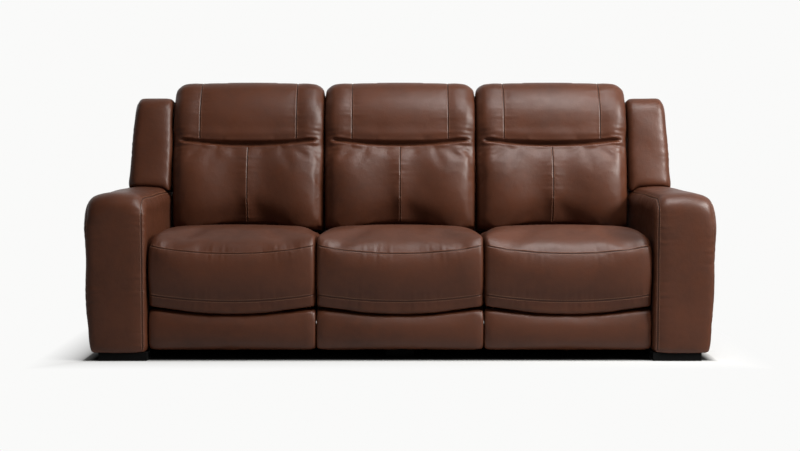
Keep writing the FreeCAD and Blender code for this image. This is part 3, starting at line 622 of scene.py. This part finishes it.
def leather_finish(name, colour, leather):
    """Corrected-grain leather: mottled brown, fine pebble grain, soft creases, edges worn paler, and
    painted shade darkening it along each seam.
    """
    material, tree, shader, place = new_finish(name)
    broad = noise(tree, place, 4.5, 3.0)
    cloudy = noise(tree, place, 26.0, 5.0, 0.62, 0.4)
    worn = tree.nodes.new("ShaderNodeNewGeometry").outputs["Pointiness"]
    sewn = tree.nodes.new("ShaderNodeAttribute")
    sewn.attribute_name = "Seam_painted_shade"
    tone = shade(colour, 0.80)
    for value, low, high, most, factor in (
        (broad, 0.3, 0.7, 1.0, 1.18),
        (cloudy, 0.35, 0.8, 0.55, 1.30),
        (worn, 0.512, 0.56, 0.5, 1.75),
        # Painted shade: the leather darkens to a quarter of its tone along each seam's groove
        (sewn.outputs["Fac"], 0.1, 1.0, 0.75, 0.25),
    ):
        tone = blend_colours(tree, spread(tree, value, low, high, 0.0, most), tone, shade(colour, factor))
    tree.links.new(tone, shader.inputs["Base Color"])
    tree.links.new(
        spread(tree, cloudy, 0.3, 0.75, leather.roughness + 0.06, leather.roughness - 0.05),
        shader.inputs["Roughness"],
    )
    shader.inputs["Specular IOR Level"].default_value = 0.36
    cells = node_of(tree, "ShaderNodeTexVoronoi", Scale=leather.grain_scale)
    cells.feature = "SMOOTH_F1"
    tree.links.new(place, cells.inputs["Vector"])
    creases = noise(tree, place, 70.0, 4.0, 0.6, 1.4)
    lumps = noise(tree, place, 14.0, 2.0)
    surface = bump(tree, lumps, 0.004, 0.35)
    surface = bump(tree, creases, 0.0012, 0.30, surface)
    surface = bump(tree, cells.outputs["Distance"], 0.0005, 0.35, surface)
    tree.links.new(surface, shader.inputs["Normal"])
    return material


def thread_finish(leather):
    """Twisted sewing thread."""
    material, tree, shader, place = new_finish("Sewing_thread")
    twist = node_of(tree, "ShaderNodeTexWave", Scale=420.0, Distortion=1.5)
    twist.bands_direction = "DIAGONAL"
    tree.links.new(place, twist.inputs["Vector"])
    colour = tuple(leather.thread_colour)
    tree.links.new(
        blend_colours(tree, twist.outputs["Fac"], shade(colour, 0.7), shade(colour, 1.2)),
        shader.inputs["Base Color"],
    )
    shader.inputs["Roughness"].default_value = 0.6
    tree.links.new(bump(tree, twist.outputs["Fac"], 0.0003, 0.5), shader.inputs["Normal"])
    return material


def steel_finish():
    """Rolled steel with a satin black coat and light scuffs."""
    material, tree, shader, place = new_finish("Mechanism_steel")
    scuffs = noise(tree, place, 55.0, 6.0, 0.7, 0.6)
    fine = noise(tree, place, 900.0, 2.0)
    scuffed = spread(tree, scuffs, 0.35, 0.75, 0.0, 1.0)
    tone = blend_colours(tree, scuffed, (0.020, 0.020, 0.021), (0.060, 0.060, 0.062))
    tree.links.new(tone, shader.inputs["Base Color"])
    tree.links.new(spread(tree, scuffs, 0.3, 0.7, 0.52, 0.32), shader.inputs["Roughness"])
    shader.inputs["Metallic"].default_value = 0.5
    tree.links.new(bump(tree, fine, 0.0002, 0.3), shader.inputs["Normal"])
    return material


def wood_finish():
    """Sawn boards with long grain and darker streaks, coloured dark brown as painted shade where the frame
    shows in the shadow under the sofa.
    """
    material, tree, shader, place = new_finish("Frame_wood")
    along = node_of(tree, "ShaderNodeMapping")
    along.inputs["Scale"].default_value = (2.0, 30.0, 30.0)
    tree.links.new(place, along.inputs["Vector"])
    grain = noise(tree, along.outputs[0], 3.0, 6.0, 0.65, 1.2)
    fibres = noise(tree, along.outputs[0], 22.0, 3.0)
    streaks = spread(tree, grain, 0.3, 0.7, 0.0, 1.0)
    # Painted shade: the boards' brown is kept dark so that the frame reads as shadowed
    tone = blend_colours(tree, streaks, (0.055, 0.032, 0.018), (0.095, 0.060, 0.036))
    tree.links.new(
        blend_colours(tree, spread(tree, fibres, 0.55, 0.8, 0.0, 0.5), tone, (0.030, 0.017, 0.010)),
        shader.inputs["Base Color"],
    )
    tree.links.new(spread(tree, fibres, 0.3, 0.7, 0.62, 0.78), shader.inputs["Roughness"])
    tree.links.new(bump(tree, fibres, 0.0008, 0.4), shader.inputs["Normal"])
    return material


def plastic_finish(name, colour, roughness, gloss=0.5):
    """Moulded plastic with a fine spark-eroded texture."""
    material, tree, shader, place = new_finish(name)
    stipple = noise(tree, place, 1400.0, 2.0)
    haze = noise(tree, place, 30.0, 4.0)
    tree.links.new(
        blend_colours(tree, spread(tree, haze, 0.3, 0.7, 0.0, 1.0), shade(colour, 0.8), shade(colour, 1.4)),
        shader.inputs["Base Color"],
    )
    rough = spread(tree, haze, 0.3, 0.7, roughness - 0.06, roughness + 0.08)
    tree.links.new(rough, shader.inputs["Roughness"])
    shader.inputs["Specular IOR Level"].default_value = gloss
    tree.links.new(bump(tree, stipple, 0.0002, 0.35), shader.inputs["Normal"])
    return material


def webbing_finish():
    """Woven elastic webbing: ribs along, weft across."""
    material, tree, shader, place = new_finish("Seat_webbing")
    ribs = node_of(tree, "ShaderNodeTexWave", Scale=95.0, Distortion=0.3)
    ribs.bands_direction = "X"
    weft = node_of(tree, "ShaderNodeTexWave", Scale=160.0, Distortion=0.3)
    weft.bands_direction = "Y"
    for wave in (ribs, weft):
        tree.links.new(place, wave.inputs["Vector"])
    weave = maths(tree, "MULTIPLY", ribs.outputs["Fac"], weft.outputs["Fac"])
    tree.links.new(
        blend_colours(tree, weave, (0.035, 0.032, 0.030), (0.16, 0.15, 0.14)),
        shader.inputs["Base Color"],
    )
    shader.inputs["Roughness"].default_value = 0.85
    tree.links.new(bump(tree, weave, 0.0012, 0.7), shader.inputs["Normal"])
    return material


def finish(name):
    return bpy.data.materials[name]


def props():
    scene = bpy.context.scene
    return scene.sofa_leather, scene.sofa_padding, scene.sofa_stage


class SOFA_OT_finishes(bpy.types.Operator):
    """Makes the leathers, thread, steel, wood, plastic and webbing"""
    bl_idname = "sofa.finishes"
    bl_label = "Finishes"

    def execute(self, context):
        leather, _, _ = props()
        leather_finish("Brown_leather", tuple(leather.colour), leather)
        leather_finish("Rear_leather", tuple(leather.rear_colour), leather)
        thread_finish(leather)
        steel_finish()
        wood_finish()
        webbing_finish()
        plastic_finish("Foot_black", (0.0015, 0.0015, 0.0015), 0.7, 0.12)
        plastic_finish("Handle_plastic", (0.012, 0.011, 0.010), 0.42)
        return {"FINISHED"}


class SOFA_OT_hardware(bpy.types.Operator):
    """Gives the frames, straps, mechanism, feet and handles their finishes"""
    bl_idname = "sofa.hardware"
    bl_label = "Frames and hardware"

    # The first key that a node's name holds gives its finish
    KINDS = (
        ("release", "Handle_plastic"), ("straps", "Seat_webbing"), ("footrest_frame", "Mechanism_steel"),
        ("rail", "Mechanism_steel"), ("frame", "Frame_wood"), ("", "Mechanism_steel"),
    )

    def execute(self, context):
        for name, node in NODES.items():
            if name.endswith("_foot"):
                chosen = "Foot_black"
            else:
                chosen = next(value for key, value in self.KINDS if key in name)
            node.data.materials.clear()
            node.data.materials.append(finish(chosen))
        return {"FINISHED"}


class SOFA_OT_seats(bpy.types.Operator):
    """Pads and sews the three seat cushions with their waterfall fronts"""
    bl_idname = "sofa.seats"
    bl_label = "Seat cushions"

    FRONT_Y = -0.40  # the waterfall front lies before it
    TOP_Z = 0.385  # the rounding of the top's sides starts here
    LIP_Z = 0.235  # the lip hangs below
    FRAME_Y, FRAME_Z = -0.385, 0.3355  # the front and top of the seat frame
    SEAM_HALF = 0.009

    def execute(self, context):
        _, padding, _ = props()
        for number, (place, sign) in enumerate(PLACES):
            x0 = sign * MODULE_PITCH
            node = place + "_seat_cushion"
            piece = even_copy(place + "_seat_leather", node, padding.pitch)
            relax(piece, 4, 2)
            held = self.held_points(piece, x0)
            draw_inward(piece, held, padding.draw_in)
            inflate(piece, held, padding)
            relax(piece, 3, 3, held)
            self.keep_in(piece, x0)
            subdivide(piece, 2)
            self.round_sides(piece, x0, sign)
            tree = tree_of(piece)
            lines = [
                trace(tree, seat_seam(x0, UPPER_SEAM_Z, UPPER_SIDE_RISE)),
                trace(tree, seat_seam(x0, LOWER_SEAM_Z, LOWER_SIDE_RISE)),
            ]
            upholster(place + "_seat_stitches", piece, node, lines, (0.0006, 1.0 + number, 0.5))
        return {"FINISHED"}

    def held_points(self, piece, x0):
        """One where the cushion rests on its frame and against the back, less along the seams."""
        co = points_of(piece)
        normals = normals_of(piece)
        out = ((co[:, 0] - x0) / HALF_CUSHION) ** 2
        rests = (normals[:, 2] < -0.6) | (normals[:, 1] > 0.6)
        seam = (co[:, 1] < self.FRONT_Y) & (
            (abs(co[:, 2] - UPPER_SEAM_Z - UPPER_SIDE_RISE * out) < self.SEAM_HALF)
            | (abs(co[:, 2] - LOWER_SEAM_Z - LOWER_SIDE_RISE * out) < self.SEAM_HALF)
        )
        return np.where(rests, 1.0, np.where(seam, 0.4, 0.0))

    def round_sides(self, piece, x0, sign):
        """Rounds the top's corner beside an arm and the front's side edges, and lets the lip hang."""
        arm_drop, arm_radius, side_lift, side_radius = 0.024, 0.046, -0.004, 0.030
        edge_depth, edge_radius, hang, sag = 0.008, 0.016, 0.004, 0.009
        co = points_of(piece)
        x = co[:, 0] - x0
        far = abs(x) - HALF_CUSHION
        by_arm = (x * sign > 0) if sign else np.zeros(len(co), bool)
        high = np.clip((co[:, 2] - self.TOP_Z) / 0.06, 0.0, 1.0)
        drop = np.where(by_arm, arm_drop * rolled(far, arm_radius), side_lift * rolled(far, side_radius))
        co[:, 2] -= (0.004 + drop) * high
        front = np.clip((self.FRONT_Y - co[:, 1]) / 0.05, 0.0, 1.0)
        co[:, 1] += edge_depth * rolled(far, edge_radius) * front
        low = np.clip((self.LIP_Z - co[:, 2]) / 0.045, 0.0, 1.0)
        co[:, 2] -= (hang + sag * (1.0 - (x / HALF_CUSHION) ** 2)) * low * front
        move_points(piece, co)

    def keep_in(self, piece, x0):
        """Presses the sides flat where neighbours touch, and the underside on its frame."""
        co = points_of(piece)
        press_sides(co, x0, 1.014)
        over_frame = (co[:, 1] > self.FRAME_Y) & (co[:, 2] < self.FRAME_Z + 0.0005)
        co[over_frame, 2] = co[over_frame, 2].clip(self.FRAME_Z, None)
        move_points(piece, co)


class SOFA_OT_backs(bpy.types.Operator):
    """Pads and sews the three backs: lumbar pillow below the crease, headrest above"""
    bl_idname = "sofa.backs"
    bl_label = "Back cushions"

    CREASE_HALF = 0.014  # half the height of the band that the crease holds
    CREASE_END_X = 0.262  # the crease fades out here

    def execute(self, context):
        _, padding, _ = props()
        for number, (place, sign) in enumerate(PLACES):
            x0 = sign * MODULE_PITCH
            node = place + "_back_cushion"
            piece = even_copy(place + "_back_leather", node, padding.pitch)
            relax(piece, 4, 2)
            held = self.held_points(piece, x0)
            draw_inward(piece, held, padding.draw_in)
            inflate(piece, held, padding)
            relax(piece, 1, 0, held)
            co = points_of(piece)
            press_sides(co, x0, 1.01)
            move_points(piece, co)
            subdivide(piece, 2)
            self.round_sides(piece, x0)
            self.crease(piece, x0)
            tree = tree_of(piece)
            lines = [
                trace(tree, head_seam(x0, -HEAD_SEAM_X)),
                trace(tree, head_seam(x0, HEAD_SEAM_X)),
                trace(tree, centre_seam(x0)),
            ]
            upholster(place + "_back_stitches", piece, node, lines, (0.0006, 4.0 + number, 0.3))
        return {"FINISHED"}

    def held_points(self, piece, x0):
        """One at the rear, where the cushion is fixed to its frame, and along the crease."""
        co = points_of(piece)
        u, w = lean_of(co)
        from_foam_crease = w - crease_w(co[:, 0] - x0) - CREASE_DROP
        in_crease = (u < -0.05) & (abs(from_foam_crease) < self.CREASE_HALF)
        return np.where((u > -0.012) | in_crease, 1.0, 0.0)

    def round_sides(self, piece, x0):
        """Rolls the front towards both sides and rounds the headrest's top corners."""
        side_depth, side_radius, top_depth, top_radius = 0.022, 0.042, 0.026, 0.036
        co = points_of(piece)
        u, w = lean_of(co)
        far = abs(co[:, 0] - x0) - HALF_CUSHION
        front = np.clip(-u / 0.09, 0.0, 1.0)
        high = np.clip((w - 0.66) / 0.07, 0.0, 1.0)
        co += np.outer(side_depth * rolled(far, side_radius) * front, np.array(BACKWARD))
        co += np.outer(top_depth * rolled(far, top_radius) * high, np.array(DOWNWARD))
        move_points(piece, co)

    def crease(self, piece, x0):
        """Draws the leather into the crease, which ends in small folds near the sides."""
        depth, width, roll_depth, fold_depth, fold_wave = 0.020, 0.0075, 0.006, 0.0012, 0.021
        co = points_of(piece)
        u, w = lean_of(co)
        x = co[:, 0] - x0
        near = np.exp(-(((w - crease_w(x) - CREASE_DROP) / 0.10) ** 2)) * np.clip(-u / 0.05, 0.0, 1.0)
        co += np.outer(CREASE_DROP * near, np.array(DOWNWARD))
        u, w = lean_of(co)
        from_line = w - crease_w(x)
        fade = 1.0 / (1.0 + np.exp((abs(x) - self.CREASE_END_X) / 0.008))
        front = u < -0.04
        sink = depth * np.exp(-((from_line / width) ** 2)) * fade
        roll = roll_depth * np.exp(-(((from_line - 0.030) / 0.024) ** 2)) * fade
        ends = np.exp(-(((abs(x) - self.CREASE_END_X) / 0.030) ** 2)) * np.exp(-((from_line / 0.045) ** 2))
        folds = fold_depth * np.sin(from_line * 2 * math.pi / fold_wave + abs(x) * 60.0) * ends
        co += np.outer((sink - roll + folds) * front, np.array(BACKWARD))
        co += np.outer(roll * 0.35 * front, np.array(DOWNWARD))
        move_points(piece, co)


class SOFA_OT_arms(bpy.types.Operator):
    """Covers the arms: a band over the top and front, sewn to an inner and an outer side"""
    bl_idname = "sofa.arms"
    bl_label = "Arms"

    def execute(self, context):
        _, padding, _ = props()
        for number, (place, sign) in enumerate(SIDES):
            node = place + "_arm_cover"
            piece = even_copy(place + "_arm_leather", node, padding.cover_pitch)
            relax(piece, 5, 2)
            self.pad_out(piece, sign, number)
            subdivide(piece)
            tree = tree_of(piece)
            foot_z = ARM_LOW.z + 0.01
            lines = [
                trace(tree, arm_seam(sign * BAND_INNER_X, foot_z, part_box("right_wing")[0].y + 0.01)),
                trace(tree, arm_seam(sign * BAND_OUTER_X, foot_z, ARM_HIGH.y - 0.03)),
            ]
            upholster(place + "_arm_stitches", piece, node, lines, (0.0010, 8.0 + number, 0.7))
        return {"FINISHED"}

    def pad_out(self, piece, sign, number):
        """Lets the band crown, the sides swell softly, the upper corner fill and the side draw in."""
        crown_depth, wave_depth = 0.005, 0.0012
        corner_in, corner_depth, corner_reach = 0.028, 0.015, 0.055
        waist_z, waist_depth, waist_reach = 0.35, 0.006, 0.10
        co = points_of(piece)
        normals = normals_of(piece)
        outside = abs(co[:, 0]) > ARM_HIGH.x - 0.02
        outside |= (co[:, 2] > ARM_HIGH.z - 0.06) | (co[:, 1] < ARM_LOW.y + 0.05)
        across = np.clip((abs(co[:, 0]) - ARM_LOW.x) / (ARM_HIGH.x - ARM_LOW.x), 0.0, 1.0)
        crown = np.sin(across * math.pi) ** 0.7
        wave = np.sin(co[:, 1] * 19.0 + number) * np.sin(co[:, 2] * 13.0 + 2.0 * number + co[:, 0] * 9.0)
        push = (crown_depth * crown * np.clip(-normals[:, 1], 0, 1) + wave_depth * wave) * outside
        co += normals * push[:, None]
        corner = np.hypot(abs(co[:, 0]) - ARM_HIGH.x + corner_in, co[:, 2] - ARM_HIGH.z + corner_in)
        full = corner_depth * np.exp(-((corner / corner_reach) ** 2))
        co[:, 0] += sign * full
        co[:, 2] += 0.75 * full
        waist = np.exp(-(((co[:, 2] - waist_z) / waist_reach) ** 2))
        co[:, 0] -= sign * waist_depth * waist * across
        move_points(piece, co)


class SOFA_OT_wings(bpy.types.Operator):
    """Covers the padded side wings above the arms"""
    bl_idname = "sofa.wings"
    bl_label = "Wings"

    def execute(self, context):
        _, padding, _ = props()
        for number, (place, sign) in enumerate(SIDES):
            node = place + "_wing"
            piece = even_copy(place + "_wing_leather", node, padding.cover_pitch)
            relax(piece, 5, 3)
            self.pad_out(piece, sign, number)
            subdivide(piece)
            lines = [trace(tree_of(piece), self.side_seam(sign))]
            upholster(place + "_wing_stitches", piece, node, lines, (0.0010, 11.0 + number, 0.8))
        return {"FINISHED"}

    def pad_out(self, piece, sign, number):
        """Crowns the front, lowers the top a little and lets the base flare over the arm."""
        crown_depth, wave_depth, top_drop = 0.006, 0.0015, 0.009
        base_forward, base_out, top_in = 0.007, 0.005, 0.009
        co = points_of(piece)
        normals = normals_of(piece)
        across = (abs(co[:, 0]) - WING_X[0]) / (WING_X[1] - WING_X[0])
        inside = np.clip(across, 0.0, 1.0)
        _, w = lean_of(co)
        faces_front = np.clip(-normals[:, 1], 0, 1)
        wave = np.sin(w * 23.0 + number * 2.0) * np.sin(across * 5.0 + w * 9.0)
        push = crown_depth * np.sin(inside * math.pi) * faces_front
        push += wave_depth * wave * (normals[:, 2] > -0.5)
        co += normals * push[:, None]
        co += np.outer(top_drop * np.clip((w - 0.55) / 0.1, 0.0, 1.0), np.array(DOWNWARD))
        base = np.clip((0.50 - w) / 0.15, 0.0, 1.0) ** 2
        co -= np.outer(base_forward * base * faces_front, np.array(BACKWARD))
        co[:, 0] += sign * inside * (base_out * base - top_in * np.clip((w - 0.45) / 0.2, 0.0, 1.0))
        move_points(piece, co)

    def side_seam(self, sign):
        """On the outer side, behind the front edge and over the top."""
        x = sign * (WING_X[1] + 0.3)
        corner_u, corner_w, radius = -0.038, 0.625, 0.04
        places = [(corner_u - radius, w) for w in np.linspace(0.37, corner_w, 60)]
        for turn in np.linspace(0.0, math.pi / 2, 16):
            places.append((corner_u - radius * math.cos(turn), corner_w + radius * math.sin(turn)))
        top_u = corner_u + 0.004
        for u in np.linspace(top_u, 0.13, 40):
            places.append((u, corner_w + radius - 0.08 * (u - top_u)))
        return [(in_back(x, u, w), (-sign, 0, 0)) for u, w in places]


class SOFA_OT_front_panels(bpy.types.Operator):
    """Pads the lower front panels, of which the outer two are the footrests"""
    bl_idname = "sofa.front_panels"
    bl_label = "Front panels and footrests"

    def execute(self, context):
        _, padding, _ = props()
        for place, sign in PLACES:
            x0 = sign * MODULE_PITCH
            node = place + ("_footrest_pad" if sign else "_front_panel")
            piece = even_copy(place + "_front_panel_leather", node, padding.cover_pitch)
            relax(piece, 5, 2)
            held = np.where(points_of(piece)[:, 1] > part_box(node)[1].y - 0.02, 1.0, 0.0)
            draw_inward(piece, held, 0.004)
            inflate(piece, held, padding, 0.003)
            self.fit(piece, x0, *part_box(node))
            relax(piece, 1, 1, held)
            subdivide(piece)
            carry(piece, node, finish("Brown_leather"))
        return {"FINISHED"}

    def fit(self, piece, x0, low, high):
        """Keeps the padding to its place and raises the top edge to follow the seat's lip."""
        lift_middle, lift_share, slope = 0.003, 0.85, 0.06
        co = points_of(piece)
        press_sides(co, x0, 1.014)
        co[:, 1] = co[:, 1].clip(CAD_BOX[0].y - 0.004, high.y)
        co[:, 2] = co[:, 2].clip(low.z - 0.004, high.z + 0.002)
        lift = lift_middle + LOWER_SIDE_RISE * lift_share * ((co[:, 0] - x0) / HALF_CUSHION) ** 2
        co[:, 2] += lift * np.clip((co[:, 2] - high.z + slope) / slope, 0.0, 1.0)
        move_points(piece, co)


class SOFA_OT_rear(bpy.types.Operator):
    """Covers the rear of each back and the lower rear panel"""
    bl_idname = "sofa.rear"
    bl_label = "Rear covers"

    KIND = ("Rear_leather", "rear_leather")

    def execute(self, context):
        _, padding, _ = props()
        for number, (place, sign) in enumerate(PLACES):
            node = place + "_back_rear_cover"
            piece = self.cover(place + "_rear_leather", node, padding)
            tree = tree_of(piece)
            lines = [trace(tree, rays) for rays in self.rear_seams(sign * MODULE_PITCH)]
            upholster(
                place + "_rear_stitches", piece, node, lines, (0.0009, 14.0 + number, 0.7),
                self.KIND, (ROW_GAP,),
            )
        piece = self.cover("rear_lower_leather", "rear_lower_panel", padding)
        carry(piece, "rear_lower_panel", finish(self.KIND[0]))
        return {"FINISHED"}

    def cover(self, name, node, padding):
        piece = even_copy(name, node, padding.cover_pitch)
        relax(piece, 4, 2)
        subdivide(piece)
        return piece

    def rear_seams(self, x0):
        """Down both sides of the rear face, and across it above the lower flap."""
        side, low_z, top_z, flap_z, behind = HALF_CUSHION - 0.034, 0.33, 0.925, 0.375, 0.9
        rays = [
            [((x0 + x, behind, z), (0, -1, 0)) for z in np.linspace(low_z, top_z, 150)]
            for x in (-side, side)
        ]
        rays.append([((x0 + x, behind, flap_z), (0, -1, 0)) for x in np.linspace(-side, side, 120)])
        return rays


class SOFA_OT_stage(bpy.types.Operator):
    """Sets the floor, the backdrop, the soft lamps and the camera"""
    bl_idname = "sofa.stage"
    bl_label = "Stage"

    # Name, place, size, watts and colour
    LAMPS = (
        ("Key_lamp", (3.5, -1.7, 2.7), 1.2, 232.0, (1.0, 0.98, 0.95)),
        ("Front_lamp", (0.8, -4.6, 2.6), 2.4, 6.0, (1.0, 1.0, 1.0)),
        ("Top_lamp", (1.0, -1.2, 3.5), 1.7, 98.0, (1.0, 1.0, 1.0)),
    )
    FLOOR_RADIUS = 14.0
    WORLD_LIGHT = 0.20

    def execute(self, context):
        _, _, stage = props()
        self.floor(tuple(stage.backdrop))
        self.surroundings(tuple(stage.backdrop))
        for lamp in self.LAMPS:
            self.lamp(*lamp)
        camera = bpy.data.cameras.new("Camera")
        camera.lens = stage.lens
        camera.sensor_width = 36.0
        seen = bpy.data.objects.new("Camera", camera)
        context.scene.collection.objects.link(seen)
        seen.location = (0.0, -stage.camera_distance, stage.camera_height)
        seen.rotation_euler = (math.pi / 2 - stage.camera_tilt, 0.0, 0.0)
        context.scene.camera = seen
        context.scene.view_settings.view_transform = "Standard"
        return {"FINISHED"}

    def lamp(self, name, place, size, power, colour):
        light = bpy.data.lights.new(name, "AREA")
        light.shape = "DISK"
        light.size = size
        light.energy = power
        light.color = colour
        lamp = bpy.data.objects.new(name, light)
        bpy.context.scene.collection.objects.link(lamp)
        lamp.location = place
        aim = Vector((0.0, 0.0, 0.45)) - Vector(place)
        lamp.rotation_euler = aim.to_track_quat("-Z", "Y").to_euler()

    def floor(self, colour):
        """A wide floor that keeps the sofa's shadow and then turns into the backdrop; its colour holds a
        painted shadow, near black under the sofa and just past its edge.
        """
        made = bmesh.new()
        bmesh.ops.create_circle(made, cap_ends=True, radius=self.FLOOR_RADIUS, segments=96)
        mesh = bpy.data.meshes.new("Floor")
        made.to_mesh(mesh)
        made.free()
        floor = bpy.data.objects.new("Floor", mesh)
        bpy.context.scene.collection.objects.link(floor)
        material, tree, shader, place = new_finish("Floor_white")
        past = self.beyond(tree, place)
        # Painted shadow: the floor's colour goes near black under the sofa's footprint and a few
        # millimetres past it
        dark = spread(tree, past, -0.035, 0.006, 0.0, 1.0)
        tree.links.new(
            blend_colours(tree, dark, shade(colour, 0.02), shade(colour, 0.6)), shader.inputs["Base Color"]
        )
        shader.inputs["Roughness"].default_value = 0.9
        shader.inputs["Specular IOR Level"].default_value = 0.0
        path = tree.nodes.new("ShaderNodeLightPath")
        glow = tree.nodes.new("ShaderNodeEmission")
        glow.inputs["Color"].default_value = (*colour, 1.0)
        tree.links.new(
            spread(tree, path.outputs["Is Glossy Ray"], 0.0, 1.0, 1.0, 0.25), glow.inputs["Strength"]
        )
        share = maths(tree, "POWER", spread(tree, past, 0.0, 0.17, 0.0, 1.0), 0.42)
        mix = tree.nodes.new("ShaderNodeMixShader")
        tree.links.new(maths(tree, "MULTIPLY", share, self.seen_ray(tree, path)), mix.inputs[0])
        tree.links.new(shader.outputs[0], mix.inputs[1])
        tree.links.new(glow.outputs[0], mix.inputs[2])
        out = next(n for n in tree.nodes if n.type == "OUTPUT_MATERIAL")
        tree.links.new(mix.outputs[0], out.inputs[0])
        mesh.materials.append(material)

    def beyond(self, tree, place):
        """How far outside the sofa's footprint a place on the floor lies."""
        parts = tree.nodes.new("ShaderNodeSeparateXYZ")
        tree.links.new(place, parts.inputs[0])
        sides = [
            maths(tree, "SUBTRACT", maths(tree, "ABSOLUTE", parts.outputs[k]), CAD_BOX[1][k])
            for k in range(2)
        ]
        return maths(tree, "MAXIMUM", *sides)

    def seen_ray(self, tree, path):
        """One for camera, glossy and transmission rays, else nought."""
        value = path.outputs["Is Camera Ray"]
        for key in ("Is Glossy Ray", "Is Transmission Ray"):
            value = maths(tree, "MAXIMUM", value, path.outputs[key])
        return value

    def surroundings(self, colour):
        """Even light for the surface, a paler rear for reflections, and the plain backdrop."""
        world = bpy.context.scene.world or bpy.data.worlds.new("World")
        bpy.context.scene.world = world
        world.use_nodes = True
        tree = world.node_tree
        tree.nodes.clear()
        light = tree.nodes.new("ShaderNodeBackground")
        light.inputs["Color"].default_value = (1.0, 1.0, 1.0, 1.0)
        seen = node_of(tree, "ShaderNodeBackground", Strength=1.0)
        seen.inputs["Color"].default_value = (*colour, 1.0)
        path = tree.nodes.new("ShaderNodeLightPath")
        glossy = path.outputs["Is Glossy Ray"]
        parts = tree.nodes.new("ShaderNodeSeparateXYZ")
        tree.links.new(tree.nodes.new("ShaderNodeTexCoord").outputs["Generated"], parts.inputs[0])
        rear = spread(tree, parts.outputs[1], -0.1, 0.8, 0.05, 0.8)
        plain = spread(tree, glossy, 0.0, 1.0, self.WORLD_LIGHT, 0.0)
        level = maths(tree, "ADD", maths(tree, "MULTIPLY", rear, glossy), plain)
        tree.links.new(level, light.inputs["Strength"])
        mix = tree.nodes.new("ShaderNodeMixShader")
        out = tree.nodes.new("ShaderNodeOutputWorld")
        tree.links.new(path.outputs["Is Camera Ray"], mix.inputs[0])
        tree.links.new(light.outputs[0], mix.inputs[1])
        tree.links.new(seen.outputs[0], mix.inputs[2])
        tree.links.new(mix.outputs[0], out.inputs[0])


class SOFA_PT_panel(bpy.types.Panel):
    """Lists the pieces of the sofa in the order they are made"""
    bl_idname = "SOFA_PT_panel"
    bl_label = "Reclining sofa"
    bl_space_type = "VIEW_3D"
    bl_region_type = "UI"
    bl_category = "Sofa"

    def draw(self, context):
        for group in (context.scene.sofa_leather, context.scene.sofa_padding, context.scene.sofa_stage):
            for key in group.bl_rna.properties.keys():
                if key not in ("rna_type", "name"):
                    self.layout.prop(group, key)
        for kind in OPERATORS:
            self.layout.operator(kind.bl_idname)


OPERATORS = (
    SOFA_OT_finishes, SOFA_OT_hardware, SOFA_OT_seats, SOFA_OT_backs, SOFA_OT_arms, SOFA_OT_wings,
    SOFA_OT_front_panels, SOFA_OT_rear, SOFA_OT_stage,
)
CLASSES = (SofaLeather, SofaPadding, SofaStage, *OPERATORS, SOFA_PT_panel)


def register():
    for kind in CLASSES:
        bpy.utils.register_class(kind)
    bpy.types.Scene.sofa_leather = PointerProperty(type=SofaLeather)
    bpy.types.Scene.sofa_padding = PointerProperty(type=SofaPadding)
    bpy.types.Scene.sofa_stage = PointerProperty(type=SofaStage)


def unregister():
    del bpy.types.Scene.sofa_stage
    del bpy.types.Scene.sofa_padding
    del bpy.types.Scene.sofa_leather
    for kind in reversed(CLASSES):
        bpy.utils.unregister_class(kind)


def main():
    """Makes every piece in order."""
    register()
    for name in (
        "finishes", "hardware", "seats", "backs", "arms", "wings", "front_panels", "rear", "stage",
    ):
        getattr(bpy.ops.sofa, name)()


if __name__ == "__main__":
    main()
